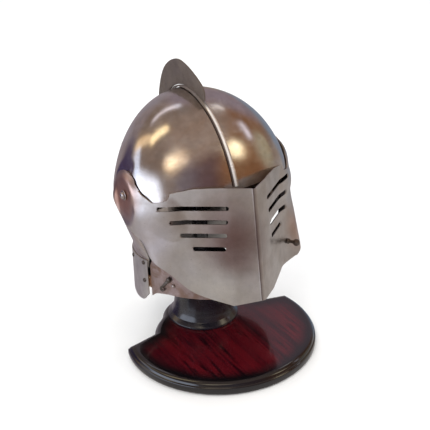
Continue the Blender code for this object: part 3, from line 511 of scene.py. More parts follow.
# ---------------------------------------------------------------- node helpers
class Graph:
    """Short calls that add shader nodes to a tree and wire them."""

    def __init__(self, tree):
        self.tree = tree

    def add(self, kind, settings=None, **inputs):
        node = self.tree.nodes.new("ShaderNode" + kind)
        for key, value in (settings or {}).items():
            setattr(node, key, value)
        for key, value in inputs.items():
            self.feed(node.inputs[key.replace("_", " ")], value)
        return node

    def feed(self, socket, value):
        if isinstance(value, bpy.types.NodeSocket):
            self.tree.links.new(value, socket)
        elif isinstance(value, (tuple, list)) and socket.type == "RGBA" and len(value) == 3:
            socket.default_value = (*value, 1)
        else:
            socket.default_value = value

    def place(self):
        return self.add("TexCoord").outputs["Object"]

    def apply(self, kind, operation, values):
        node = self.add(kind, {"operation": operation})
        for socket, value in zip(node.inputs, values):
            self.feed(socket, value)
        return node.outputs

    def math(self, operation, *values):
        return self.apply("Math", operation, values)[0]

    def times(self, first, second):
        return self.math("MULTIPLY", first, second)

    def vector(self, operation, *values):
        name = "Value" if operation in ("DOT_PRODUCT", "LENGTH") else "Vector"
        return self.apply("VectorMath", operation, values)[name]

    def scaled(self, vector, factor):
        result = self.vector("SCALE", vector)
        self.feed(result.node.inputs["Scale"], factor)
        return result

    def attribute(self, name):
        return self.add("Attribute", {"attribute_name": name}).outputs["Fac"]

    def axis(self, vector, name):
        return self.add("SeparateXYZ", Vector=vector).outputs[name]

    def stretch(self, vector, scale, turn=(0, 0, 0)):
        return self.add("Mapping", Vector=vector, Scale=scale, Rotation=turn).outputs[0]

    def noise(self, vector, scale, detail=3, rough=0.55, distortion=0):
        return self.add("TexNoise", Vector=vector, Scale=scale, Detail=detail, Roughness=rough,
                        Distortion=distortion).outputs["Fac"]

    def ease(self, value, start, end, first=0, last=1):
        """Smoothstep of a value between two levels."""
        node = self.add("MapRange", {"interpolation_type": "SMOOTHSTEP"}, Value=value)
        for index, level in zip((1, 2, 3, 4), (start, end, first, last)):
            self.feed(node.inputs[index], level)
        return node.outputs[0]

    def clamp(self, value):
        return self.add("Clamp", Value=value).outputs[0]

    def blend(self, weight, first, second):
        """Mix of two colours."""
        node = self.add("Mix", {"data_type": "RGBA"})
        for index, value in ((0, weight), (6, first), (7, second)):
            self.feed(node.inputs[index], value)
        return node.outputs[2]

    def blob(self, place, centre, radii, soft=1.0):
        """1 at a centre, falling to 0 at the radii."""
        shifted = self.vector("SUBTRACT", place, centre)
        shape = self.vector("DIVIDE", shifted, radii)
        return self.ease(self.vector("LENGTH", shape), 1 - soft, 1, 1, 0)

    def bump(self, height, strength, distance, under=None):
        below = {"Normal": under} if under else {}
        return self.add("Bump", Height=height, Strength=strength, Distance=distance, **below).outputs[0]


def make_material(name, build):
    made = bpy.data.materials.new(name)
    made.use_nodes = True
    graph = Graph(made.node_tree)
    shader = made.node_tree.nodes["Principled BSDF"]
    for key, value in build(graph).items():
        graph.feed(shader.inputs[key.replace("_", " ")], value)
    MATERIALS[name] = made


def worn_metal(graph, colour, rough, metallic=1.0, scratch=0.12, dent=0.25):
    """Shared wear: fine polishing lines, smudges that change the gloss, and shallow dents."""
    place = graph.place()
    smudge = graph.noise(place, 28, 5, 0.6, 0.4)
    lines = graph.noise(graph.stretch(place, (1, 1, 14), (0.5, 0.3, 0)), 90, 4, 0.7)
    cross = graph.noise(graph.stretch(place, (9, 1, 2), (0.2, 0.9, 0.4)), 120, 3, 0.7)
    dents = graph.noise(place, 17, 2, 0.4)
    speck = graph.ease(graph.noise(place, 420, 2, 0.6), 0.66, 0.78)
    roughness = graph.math("ADD", graph.ease(smudge, 0.3, 0.75, rough * 0.7, rough * 1.45),
                           graph.times(lines, rough * 0.3))
    normal = graph.bump(dents, dent, 0.002)
    normal = graph.bump(graph.math("ADD", lines, cross), scratch, 0.0002, normal)
    colour = graph.blend(graph.times(speck, 0.35), colour, (0.10, 0.07, 0.05))
    tone = graph.ease(graph.noise(place, 60, 6, 0.65), 0.25, 0.8, 0.86, 1.08)
    return {"Base_Color": graph.scaled(colour, tone), "Metallic": metallic, "Roughness": roughness,
            "Normal": normal}


def polished_steel(graph):
    """Bright steel of the skull; the part that the lowered visor covers is painted near-black and less metallic,
    as painted shade.
    """
    place = graph.place()
    brown = graph.noise(graph.stretch(place, (1, 1, 1.6)), 14, 4, 0.6, 0.8)
    colour = graph.blend(graph.ease(brown, 0.35, 0.7), (0.66, 0.62, 0.60), (0.60, 0.50, 0.43))
    # Painted shade: below the brow and in front, where the lowered visor covers the skull, the steel is painted
    # near-black.
    below = graph.ease(graph.axis(place, "Z"), BROW_Z - 0.017, BROW_Z - 0.013, 1, 0)
    shade_under_visor = graph.times(below, graph.ease(graph.axis(place, "Y"), 0.012, 0.020, 1, 0))
    colour = graph.blend(shade_under_visor, colour, (0.012, 0.010, 0.009))
    look = worn_metal(graph, colour, 0.16, scratch=0.10, dent=0.25)
    look["Metallic"] = graph.ease(shade_under_visor, 0, 1, 1, 0.3)
    return look


def visor_steel(graph):
    """Satin steel of a hand-finished sheet, with painted reflections and highlights by place on the visor, and
    painted shade and a painted highlight beside the keel.
    """
    place = graph.place()
    cloud = graph.noise(place, 22, 5, 0.6, 0.6)
    colour = graph.blend(graph.ease(cloud, 0.3, 0.75), (0.62, 0.58, 0.56), (0.55, 0.50, 0.46))
    # Painted reflections and highlights, patch by patch, broken up by the cloud.
    for centre, radii, soft, weight, tint in VISOR_PAINTED_REFLECTIONS:
        mask = graph.blob(place, centre, radii, soft)
        mask = graph.times(mask, graph.ease(cloud, 0.1, 0.6, 0.75 * weight, weight))
        colour = graph.blend(mask, colour, tint)
    # Painted shade on the wearer's-right side of the keel and a painted highlight on its left side, by signed
    # depth from it.
    depth = graph.attribute("keel")
    for start, end, weight, tint in KEEL_SHADE_AND_HIGHLIGHT:
        painted_light_line = graph.times(graph.ease(depth, *start), graph.ease(depth, *end, 1, 0))
        colour = graph.blend(graph.times(painted_light_line, weight), colour, tint)
    return worn_metal(graph, colour, 0.34, scratch=0.2, dent=0.3)


def bevor_steel(graph):
    """Pinkish satin cheek, with a painted shadow just below the visor's lower edge; the part that the lowered
    visor covers is painted near-black and less metallic, as painted shade.
    """
    place = graph.place()
    cloud = graph.noise(place, 55, 5, 0.65, 0.8)
    colour = graph.blend(graph.ease(cloud, 0.35, 0.65), (0.52, 0.42, 0.42), (0.34, 0.23, 0.19))
    # Painted shadow of the visor's lower edge: near-black from under the visor to a few millimetres below its
    # edge, fading out below that.
    from_edge = graph.vector("SUBTRACT", place, VISOR_EDGE_POINT)
    below_edge = graph.vector("DOT_PRODUCT", from_edge, VISOR_EDGE_DOWN)
    painted_light_line = graph.ease(below_edge, 0.0040, 0.0075, 1, 0)
    colour = graph.blend(painted_light_line, colour, (0.035, 0.018, 0.016))
    shade_under_visor = graph.ease(below_edge, -0.004, 0.000, 1, 0)
    look = worn_metal(graph, colour, 0.34, scratch=0.2, dent=0.25)
    look["Metallic"] = graph.ease(shade_under_visor, 0, 1, 1, 0.4)
    return look


def ridge_steel(graph):
    place = graph.place()
    # Painted light on the ridge strip: a bright painted highlight along it, painted shadow on its wearer's-right
    # flank and painted shade on its left flank.
    colour = graph.blend(graph.noise(place, 120), (0.98, 0.95, 0.93), (0.80, 0.74, 0.70))
    across = graph.axis(place, "X")
    colour = graph.blend(graph.ease(across, 0.0008, 0.0020), colour, (0.46, 0.36, 0.29))
    colour = graph.blend(graph.ease(across, -0.0022, -0.0010, 1, 0), colour, (0.10, 0.07, 0.06))
    # From the crown back the strip is painted darker, without the painted highlight.
    behind = graph.ease(graph.axis(place, "Y"), 0.012, 0.024)
    colour = graph.blend(behind, colour, (0.20, 0.165, 0.15))
    return worn_metal(graph, colour, 0.24, metallic=0.45)


def inner_black(graph):
    # Blackened inner face, painted near-black and dull so that it also stands for the shade inside the helmet.
    place = graph.place()
    cloud = graph.noise(place, 60, 5, 0.65)
    colour = graph.blend(cloud, (0.012, 0.011, 0.010), (0.035, 0.028, 0.024))
    return {"Base_Color": colour, "Roughness": 0.7, "Normal": graph.bump(cloud, 0.3, 0.001),
            "Specular_IOR_Level": 0.2}


def lacquered_wood(graph):
    place = graph.place()
    turned = graph.stretch(place, (1, 0.06, 1), (0, 0, math.radians(19)))
    grain = graph.noise(turned, 260, 5, 0.7, 0.3)
    broad = graph.noise(turned, 60, 3, 0.6, 0.8)
    colour = graph.blend(graph.ease(broad, 0.3, 0.7), (0.088, 0.0045, 0.008), (0.034, 0.0025, 0.006))
    colour = graph.blend(graph.ease(grain, 0.50, 0.66), colour, (0.010, 0.0015, 0.003))
    edge = graph.attribute("inset")
    wobble = graph.math("ADD", edge, graph.times(graph.noise(place, 30), 0.010))
    colour = graph.blend(graph.ease(wobble, 0.013, 0.034, 1, 0), colour, (0.004, 0.003, 0.004))
    rough = graph.ease(graph.noise(place, 45, 4), 0.3, 0.7, 0.10, 0.20)
    normal = graph.bump(grain, 0.05, 0.0003, graph.bump(graph.noise(place, 24, 2), 0.08, 0.001))
    return {"Base_Color": colour, "Roughness": rough, "Coat_Weight": 0.6, "Coat_Roughness": 0.06,
            "Normal": normal, "Specular_IOR_Level": 0.6}


def black_lacquer(graph):
    place = graph.place()
    cloud = graph.noise(place, 35, 4, 0.6)
    colour = graph.blend(graph.ease(cloud, 0.3, 0.7), (0.006, 0.006, 0.012), (0.018, 0.014, 0.018))
    rough = graph.ease(graph.noise(place, 60, 4), 0.3, 0.7, 0.16, 0.34)
    return {"Base_Color": colour, "Roughness": rough, "Coat_Weight": 0.5, "Coat_Roughness": 0.12,
            "Normal": graph.bump(graph.noise(place, 90, 3), 0.12, 0.0006)}


# Near-black leather look for the strips that stand for the shade in the collar gap.
def gap_shade_leather(graph):
    return leather(graph, (0.016, 0.012, 0.010), (0.008, 0.006, 0.006))


def leather(graph, light=(0.20, 0.085, 0.035), dark=(0.11, 0.045, 0.02)):
    place = graph.place()
    cells = graph.add("TexVoronoi", {"feature": "DISTANCE_TO_EDGE"}, Vector=place, Scale=650.0)
    creases = graph.ease(cells.outputs[0], 0.0, 0.12)
    cloud = graph.noise(place, 40, 5, 0.6)
    colour = graph.blend(graph.ease(cloud, 0.3, 0.75), light, dark)
    deep = tuple(0.3 * level for level in dark)
    colour = graph.blend(graph.ease(creases, 0, 1, 0.3, 1), deep, colour)
    normal = graph.bump(creases, 0.4, 0.0004, graph.bump(graph.noise(place, 160, 4), 0.3, 0.0008))
    rough = graph.ease(cloud, 0.2, 0.8, 0.45, 0.7)
    return {"Base_Color": colour, "Roughness": rough, "Normal": normal}


def felt(graph):
    place = graph.place()
    fibres = graph.noise(place, 1400, 5, 0.8, 2.0)
    clumps = graph.noise(place, 220, 4, 0.7, 1.0)
    colour = graph.blend(graph.ease(fibres, 0.3, 0.75), (0.012, 0.012, 0.014), (0.06, 0.058, 0.06))
    normal = graph.bump(graph.math("ADD", fibres, clumps), 0.7, 0.0008)
    return {"Base_Color": colour, "Roughness": 0.95, "Normal": normal, "Sheen_Weight": 0.4}


def thread(graph):
    place = graph.place()
    twist = graph.noise(graph.stretch(place, (1, 1, 3)), 900, 3)
    colour = graph.blend(twist, (0.55, 0.46, 0.32), (0.36, 0.28, 0.18))
    return {"Base_Color": colour, "Roughness": 0.8, "Normal": graph.bump(twist, 0.5, 0.0003)}


def plain_steel(noise, levels, light, dark, rough, **wear):
    """Maker of a steel whose tone drifts between two colours."""
    def maker(graph):
        cloud = graph.noise(graph.place(), *noise)
        if levels:
            cloud = graph.ease(cloud, *levels)
        return worn_metal(graph, graph.blend(cloud, light, dark), rough, **wear)
    return maker


# A point on the visor's lower edge, and the way down from it, which place the painted shadow on the bevor
VISOR_EDGE_POINT = (0, -0.010, 0.1533)
VISOR_EDGE_DOWN = (0, 0.669, -0.743)
# Painted shade line and painted highlight beside the keel: where each fades in and out, strength and tint
KEEL_SHADE_AND_HIGHLIGHT = (
    ((-0.0016, -0.0006), (-0.0001, 0.0003), 0.75, (0.10, 0.05, 0.05)),
    ((0.0002, 0.0007), (0.0018, 0.003), 0.7, (0.95, 0.90, 0.86)),
)
# Painted reflections and highlights on the visor, bright and dark: place, reach, softness, strength and tint
VISOR_PAINTED_REFLECTIONS = (
    ((-0.030, -0.072, 0.200), (0.066, 0.052, 0.070), 0.85, 0.70, (0.26, 0.16, 0.14)),
    ((-0.022, -0.080, 0.176), (0.052, 0.040, 0.056), 0.85, 0.72, (0.17, 0.085, 0.075)),
    ((-0.070, -0.040, 0.205), (0.040, 0.045, 0.030), 0.9, 0.35, (0.36, 0.27, 0.20)),
    ((-0.100, -0.008, 0.178), (0.045, 0.045, 0.050), 0.8, 0.55, (0.82, 0.77, 0.84)),
    ((-0.110, 0.032, 0.222), (0.034, 0.040, 0.044), 0.7, 0.85, (0.62, 0.30, 0.21)),
    ((0.086, -0.032, 0.150), (0.030, 0.022, 0.045), 0.8, 0.6, (0.60, 0.36, 0.26)),
    ((0.012, -0.090, 0.230), (0.030, 0.030, 0.030), 0.8, 0.4, (0.46, 0.40, 0.34)),
    ((-0.045, -0.070, 0.120), (0.060, 0.050, 0.040), 0.9, 0.5, (0.72, 0.68, 0.60)),
)

# Noise, levels between which the tone changes, two tones, roughness and wear
for name, recipe, wear in (
        ("satin_steel", ((30, 5, 0.6, 0.6), (0.3, 0.75), (0.60, 0.55, 0.55), (0.48, 0.40, 0.37), 0.3),
         {"scratch": 0.2}),
        ("collar_steel", ((30, 5, 0.6, 0.6), (0.3, 0.75), (0.84, 0.82, 0.78), (0.70, 0.67, 0.63), 0.34),
         {"scratch": 0.2}),
        ("cut_edge", ((200,), None, (0.72, 0.68, 0.64), (0.50, 0.44, 0.38), 0.28), {"metallic": 0.5}),
        ("crest_steel", ((40, 5, 0.65, 0.5), None, (0.25, 0.205, 0.175), (0.185, 0.15, 0.13), 0.5),
         {"metallic": 0.75, "scratch": 0.35, "dent": 0.2}),
        ("dark_steel", ((90, 4), None, (0.22, 0.19, 0.17), (0.10, 0.08, 0.07), 0.38), {"scratch": 0.3})):
    make_material(name, plain_steel(*recipe, **wear))
for maker in (polished_steel, visor_steel, bevor_steel, ridge_steel, inner_black, lacquered_wood,
              black_lacquer, leather, gap_shade_leather, felt, thread):
    make_material(maker.__name__, maker)


# ---------------------------------------------------------------- skull surface
def section(z, standoff=0):
    """Plan of the skull at a height: centre y, front, back, half width and two exponents."""
    rise = min(max((z - SKULL_LEVEL_Z) / SKULL_RISE, 0), 1)
    width = math.sqrt(1 - rise * rise)
    drop = min(max((TAPER_TOP_Z - z) / (TAPER_TOP_Z - TAPER_END_Z), 0), 1)
    weight = (1 + TAPER_EASE) * drop * drop / (drop + TAPER_EASE)
    inset = SHEET + GAP
    centre = mix(CROWN_Y - SKULL_SHIFT * width, RING_Y, weight)
    front = mix(SKULL_FRONT * width, RING_FRONT - inset, weight)
    back = mix(SKULL_BACK * width, RING_BACK - inset, weight)
    half = mix(SKULL_HALF_WIDTH * width ** WIDTH_POWER, RING_HALF_WIDTH - inset, weight)
    front_exponent = mix(FRONT_EXPONENT, 2, weight)
    back_exponent = mix(BACK_EXPONENT, 2, weight)
    return (centre, front + standoff, back + standoff, half + standoff, front_exponent, back_exponent,
            weight)


def side_of(plan, y):
    """Half width of a plan at y."""
    centre, front, back, half, front_exponent, back_exponent = plan[:6]
    length, exponent = (front, front_exponent) if y < centre else (back, back_exponent)
    if length <= 0:
        return 0
    return half * max(0, 1 - (abs(y - centre) / length) ** exponent) ** (1 / exponent)


def plan_point(plan, angle, z):
    """Point of a plan at an angle, 0 front and pi back, on the +X side up to pi."""
    centre, front, back, half, front_exponent, back_exponent = plan[:6]
    facing, across = math.cos(angle), math.sin(angle)
    length, exponent = (front, front_exponent) if facing > 0 else (back, back_exponent)
    along = math.copysign(abs(facing) ** (2 / exponent), facing) * length
    wide = math.copysign(abs(across) ** (2 / exponent), across) * half
    return Vector((wide, centre - along, z))


def arm_distance(y, z):
    nearest = min(max(z, PIVOT_Z - FLAT_DROP), PIVOT_Z)
    return math.hypot(y - PIVOT_Y, z - nearest)


def plate_side(y, z, standoff, radius=FLAT_RADIUS):
    """Half width of a plate that follows the skull at a standoff, flat round the pivot."""
    natural = side_of(section(z), y) + standoff
    return mix(PIVOT_FLAT_X + standoff, natural, smooth((arm_distance(y, z) - radius) / FLAT_EASE))


def skull_point(angle, z):
    point = plan_point(section(z), angle, z)
    if point.x > PIVOT_FLAT_X / 2:
        ahead = smooth((PIVOT_Y + 6 * MM - point.y) / FLAT_EASE)
        ahead *= smooth((z - PIVOT_Z + 2 * MM) / FLAT_EASE)
        away = smooth((arm_distance(point.y, z) - SWEEP_RADIUS) / FLAT_EASE)
        relief = SWEEP_RELIEF * (1 - away) * (1 - ahead)
        dipped = min(point.x - relief, plate_side(point.y, z, 0, SWEEP_RADIUS))
        ease = smooth((math.hypot(point.y - PIVOT_Y, z - PIVOT_Z) - SEAT_RADIUS) / SEAT_RADIUS)
        point.x = mix(PIVOT_FLAT_X, dipped, ease)
    return point


def lift_z(lift):
    return SKULL_LEVEL_Z + SKULL_RISE * math.sin(lift)


def collar_top(y):
    return RING_TOP_Z - COLLAR_SLOPE * (y - RING_Y)


def bore(point, direction, radius, length):
    return lathe([(radius, -length / 2), (radius, length / 2)], turn_to(direction, point), 24)


def ring_point(angle, z, inset=0):
    plan = (RING_Y, RING_FRONT - inset, RING_BACK - inset, RING_HALF_WIDTH - inset, 2, 2)
    return plan_point(plan, angle, z)


def ring_normal(point):
    length = RING_FRONT if point.y < RING_Y else RING_BACK
    return Vector((point.x / RING_HALF_WIDTH ** 2, (point.y - RING_Y) / length ** 2, 0)).normalized()


def collar_rivet_places():
    places = []
    for degrees in (86, 106, 143, 180, 217, 254, 274):
        point = ring_point(math.radians(degrees), 0)
        point.z = collar_top(point.y) - COLLAR_RIVET_DROP
        places.append((point, ring_normal(point)))
    return places


def strap_rivet_places():
    points = [ring_point(math.radians(degrees), STRAP_RIVET_Z) for degrees in (86, 274)]
    return [(point, ring_normal(point)) for point in points]


def liner_rivet_places():
    places = []
    for degrees in (135, 160, 200, 225):
        angle = math.radians(degrees)
        z = (BAND_BOTTOM_Z + BAND_TOP_Z) / 2
        step = 0.5 * MM
        point = plan_point(section(z), angle, z)
        along = plan_point(section(z), angle + 0.01, z) - point
        up = plan_point(section(z + step), angle, z + step) - point
        places.append((point, facing(along.cross(up), point - Vector((0, CROWN_Y, z)))))
    return places


def rivet_bores(places, length, side=0):
    """Bores for rivets, on one side and the middle, or on both."""
    return [bore(p, d, RIVET_BORE, length) for p, d in places if p.x * side > -1e-6]


HEART = Vector((0, RING_Y, SKULL_LEVEL_Z))
PIVOT_BORE = ((0, PIVOT_Y, PIVOT_Z), (1, 0, 0), PIVOT_HOLE_RADIUS, 0.32)


def build_skull():
    heights = spread(96 * MM, SKULL_LEVEL_Z, 34)
    heights += [lift_z(lift) for lift in spread(0, math.pi / 2, 64)[1:-1]]
    angles = spread(0, math.pi, 97)
    outer = [[skull_point(angle, z) for angle in angles] for z in heights]
    inner = offset_grid(outer, SHEET, HEART)
    seam = GAP / 2
    crown = SKULL_LEVEL_Z + SKULL_RISE
    for rows, top in ((outer, crown), (inner, crown - SHEET)):
        for row in rows:
            row[0].x = row[-1].x = seam
            for point in row:
                point.x = max(point.x, seam)
        rows.append([Vector((seam, CROWN_Y, top))])
    for side, word in ((-1, "right"), (1, "left")):
        grids = [[[Vector((p.x * side, p.y, p.z)) for p in row] for row in rows]
                 for rows in (outer, inner)]
        face = scaled([(-70, 231), (-40, 231), (-11, 224), (0, 210), (9, 185), (14, 160), (19, 120),
                       (-70, 120)])
        front, back = -80 * MM, 150 * MM
        hem = [(front, collar_top(front) - SKULL_LAP), (back, collar_top(back) - SKULL_LAP),
               (back, 90 * MM), (front, 90 * MM)]
        holes = [bore(*PIVOT_BORE)] + rivet_bores(liner_rivet_places(), 34 * MM, side)
        holes += rivet_bores(collar_rivet_places(), 12 * MM, side)
        mesh = carve(sheet_shell(*grids), [prism(face)], [prism(hem)], holes)
        sheet_piece(f"dome_{word}", mesh, grids[0], f"skull_{word}", "polished_steel")


# ---------------------------------------------------------------- crest
def middle_point(z, rear):
    """Side-view point of the skull's middle line, in front or behind."""
    centre, front, back = section(z)[:3]
    return (centre + back if rear else centre - front), z


def path_normals(points):
    normals = []
    for index in range(len(points)):
        before, after = points[max(index - 1, 0)], points[min(index + 1, len(points) - 1)]
        along = Vector((0, after[0] - before[0], after[1] - before[1])).normalized()
        normals.append(Vector((0, -along.z, along.y)))
    return normals


def build_crest():
    brow = math.asin((BROW_Z - SKULL_LEVEL_Z) / SKULL_RISE)
    path = [middle_point(lift_z(lift), False) for lift in spread(brow, math.pi / 2, 48)]
    path += [middle_point(lift_z(lift), True) for lift in spread(math.pi / 2, 0, 48)[1:]]
    path += [middle_point(z, True) for z in spread(SKULL_LEVEL_Z, NAPE_Z, 12)[1:]]
    normals = path_normals(path)
    stations = [(Vector((0, y, z)), ACROSS, up) for (y, z), up in zip(path, normals)]
    w, h = STRIP_HALF_WIDTH, STRIP_HEIGHT
    seat = 3.5 * GAP
    outline = [(-w, seat), (w, seat), (w, 0.4 * h), (0.62 * w, 0.52 * h), (0.16 * w, h), (-0.16 * w, h),
               (-0.62 * w, 0.52 * h), (-w, 0.4 * h)]
    ridge = sweep(stations, fillet(outline, 0.5 * MM, True, 3))
    piece("crest_ridge", ridge, "crest_strip", "ridge_steel", crisp=50)

    edge = scaled([(22.9, 319.5), (27.5, 335), (62, 350.5), (93, 352.8), (123, 335), (139.5, 304),
                   (145.8, 268)])
    top = curve_through(edge, 16)
    foot_gap = STRIP_HEIGHT + 2 * GAP
    foot = [(y + up.y * foot_gap, z + up.z * foot_gap) for (y, z), up in zip(path, normals)]
    foot = [(y, z) for y, z in foot if y > 25 * MM and z > 272 * MM]
    fin = prism(top + foot[::-1], -FIN_THICKNESS / 2, FIN_THICKNESS / 2)
    piece("crest_blade", bevelled(fin, 0.6 * MM, 3), "crest_fin", "crest_steel", crisp=40)


# ---------------------------------------------------------------- visor
def keel_y(z):
    return KEEL_TOP_Y - (KEEL_TOP_Z - z) * KEEL_LEAN


def panel_side(y, z):
    depth = max(0, y - keel_y(z))
    if depth < NOSE_DEPTH:
        return NOSE_SPREAD * depth
    return NOSE_SPREAD * NOSE_DEPTH + PANEL_SPREAD * (depth - NOSE_DEPTH)


def flared_side(y, z):
    depth = y - keel_y(z)
    flare = FLARE_RATE * max(0, FLARE_TOP_Z - z) * smooth((depth - CREASE_DEPTH) / CREASE_WIDTH)
    ease = CREASE_WIDTH / 2
    limit = FLARE_LIMIT_X + FLARE_LIMIT_RISE * smooth((y - FLARE_LIMIT_Y) / ARM_BLEND_LENGTH) - ease
    side = panel_side(y, z) + flare
    if side > limit:
        side = limit + ease * (1 - math.exp((limit - side) / ease))
    return side


def visor_side(y, z, panel=panel_side):
    below = smooth((PIVOT_Z - z) / LOBE_RADIUS)
    standoff = mix(LOBE_STANDOFF, ARM_STANDOFF, below)
    level = PIVOT_FLAT_X + BEVOR_STANDOFF + VISOR_STANDOFF + 2 * SHEET
    ease = smooth((arm_distance(y, z) - FLAT_RADIUS + 2 * MM) / FLAT_EASE)
    arm = mix(level, plate_side(y, z, standoff), ease)
    weight = smooth((y - ARM_BLEND_FRONT_Y) / ARM_BLEND_LENGTH)
    over_bevor = (SHEET + BEVOR_STANDOFF) * smooth((y + 14 * MM) / (10 * MM)) * below
    least = plate_side(y, z, over_bevor + SHEET + 4 * GAP)
    return max(mix(panel(y, z), arm, weight), least)


def visor_grid():
    grid = []
    near_keel = [0, 0.35 * MM, 0.8 * MM, 1.4 * MM]
    for z in spread(VISOR_BOTTOM_Z, VISOR_TOP_Z, 96):
        front = keel_y(z)
        depths = near_keel + spread(2.2 * MM, VISOR_REAR_Y - front, 84)

        def half(side):
            shape = flared_side if side > 0 else panel_side
            return [Vector((side * visor_side(front + depth, z, shape), front + depth, z))
                    for depth in depths]
        grid.append(both_sides(half))
    return grid


def lobe(start, end, radius, steps, offset=0):
    return [(PIVOT_Y + offset + radius * math.cos(angle), PIVOT_Z + radius * math.sin(angle))
            for angle in spread(math.radians(start), math.radians(end), steps)]


def visor_outline():
    top_front = scaled([(-87.5, 248.4), (-62.7, 247.6), (-42, 244.3), (-24, 236.6), (-23.9, 229),
                        (-18, 226)])
    valley = curve([(-12.2, 225.2), (-0.1, 232.4), (11.5, 241.3)])
    arm_top = lobe(130, 0, LOBE_RADIUS, 33, LOBE_OFFSET_Y)
    rear = curve([(58, 215), (44, 195), (17, 178.5), (4.5, 169), (-10, 153.3)])
    lower = curve([(-10, 153.3), (-28.3, 138.5), (-52, 115.5), (-84.1, 103.6)])[1:]
    tip = scaled([(-110, 114.8), (-110, 248.4)])
    return top_front + valley + arm_top + rear + lower + tip


def slot_outline(inner, outer, half_height, steps=10):
    along = Vector((outer[0] - inner[0], outer[1] - inner[1]))
    lean = math.atan2(along.y, along.x)
    points = []
    for centre, start in ((outer, -math.pi / 2), (inner, math.pi / 2)):
        for angle in spread(lean + start, lean + start + math.pi, steps + 1):
            points.append((centre[0] + half_height * 0.7 * math.cos(angle),
                           centre[1] + half_height * math.sin(angle)))
    return points


def visor_left_face(y, z):
    def at(y_here, z_here):
        return Vector((visor_side(y_here, z_here, flared_side), y_here, z_here))
    step = 1 * MM
    normal = (at(y + step, z) - at(y - step, z)).cross(at(y, z + step) - at(y, z - step))
    return at(y, z), facing(normal, ACROSS)


def build_visor():
    outer = visor_grid()
    inner = offset_grid(outer, SHEET, HEART)
    middle = len(outer[0]) // 2
    fold = math.hypot(1, 1 / NOSE_SPREAD) * SHEET
    for outer_row, inner_row in zip(outer, inner):
        for index in range(middle - 3, middle + 4):
            inner_row[index] = outer_row[index] + Vector((0, fold, 0))
    trim = scaled([(-115, 110), (-104, 110), (-84, 112), (-68, 115), (-54, 118), (-46, 121), (-46, 90),
                   (-115, 90)])
    holes = [prism(trim, 0.4 * MM)]
    for index, length in enumerate(SLOT_LENGTHS):
        front = (SLOT_FRONT_Y - index * SLOT_FRONT_STEP, SLOT_TOP_Z - index * SLOT_PITCH)
        rear = (front[0] + length, front[1] - SLOT_SLOPE * length)
        holes.append(prism(slot_outline((front[0] + 2 * MM, front[1]), rear, SLOT_HALF_HEIGHT)))
    holes.append(bore(*PIVOT_BORE))
    point, outward = visor_left_face(PEG_Y, PEG_Z)
    holes.append(bore(point, outward, PEG_BORE_RADIUS, 14 * MM))
    mesh = carve(sheet_shell(outer, inner), holes, within=prism(visor_outline()))
    keel = mesh.attributes.new("keel", "FLOAT", "POINT")
    depths = [math.copysign(vertex.co.y - keel_y(vertex.co.z), vertex.co.x) for vertex in mesh.vertices]
    keel.data.foreach_set("value", depths)
    sheet_piece("visor_sheet", mesh, outer, "visor", "visor_steel")

    seat = point + outward * 3 * GAP
    profile = [(0, -8), (2, -8), (2, 0), (3.4, 0), (3.4, 1.2), (2.2, 2.2), (1.9, 6), (2.4, 8.5), (4, 11),
               (4.3, 13.5), (3.4, 15.6), (0, 16.6)]
    knob = lathe(fillet(scaled(profile), 0.5 * MM), turn_to(outward, seat), 40)
    piece("lifting_knob", knob, "lifting_peg", "dark_steel")


# ---------------------------------------------------------------- bevor and collar
def bevor_standoff(z):
    return mix(BEVOR_STANDOFF + SHEET, GAP + SHEET, section(z)[6])


def build_bevor():
    outer = []
    rear = PIVOT_Y + 24 * MM
    columns = 72
    for z in spread(84 * MM, PIVOT_Z + 24 * MM, 84):
        standoff = bevor_standoff(z)
        plan = section(z, standoff)
        front = plan[0] - plan[1]

        def half(side):
            points = []
            for turn in spread(0, 0.5 * math.pi, columns):
                y = mix(front, rear, 1 - math.cos(turn))
                x = side_of(plan, y) if turn else 0
                if y > ARM_BLEND_FRONT_Y:
                    away = smooth((arm_distance(y, z) - FLAT_RADIUS) / FLAT_EASE)
                    x = mix(PIVOT_FLAT_X + standoff, x, away)
                points.append(Vector((side * x, y, z)))
            return points
        outer.append(both_sides(half))
    inner = offset_grid(outer, SHEET, HEART)
    for row in inner:
        row[len(row) // 2].x = 0
    arm = lobe(0, 165, 13 * MM, 25)
    front = curve([(10, 208), (-3, 184), (-30, 166), (-66, 161.5)])
    chin = scaled([(-80, 161.5), (-80, 100.5), (-40.8, 100.5)])
    lower = curve([(-13.7, 99.5), (3.5, 95), (12.5, 88)])
    back = scaled([(13.2, 130), (2.5, 152), (20, 178), (42, 206)])
    holes = [bore(*PIVOT_BORE)]
    for y, z in ((LATCH_POINT.y, LATCH_POINT.z), (STUD_Y, STUD_Z)):
        point, outward = bevor_face(y, z)
        holes.append(bore(point, outward, RIVET_BORE, 12 * MM))
    outline = prism(arm + front + chin + lower + back)
    mesh = carve(sheet_shell(outer, inner), holes, within=outline)
    sheet_piece("bevor_sheet", mesh, outer, "bevor", "bevor_steel")


def bevor_face(y, z):
    """Point and outward normal of the bevor's lower cheek on the wearer's right."""
    point = Vector((-side_of((RING_Y, RING_FRONT, RING_BACK, RING_HALF_WIDTH, 2, 2), y), y, z))
    return point, ring_normal(point)


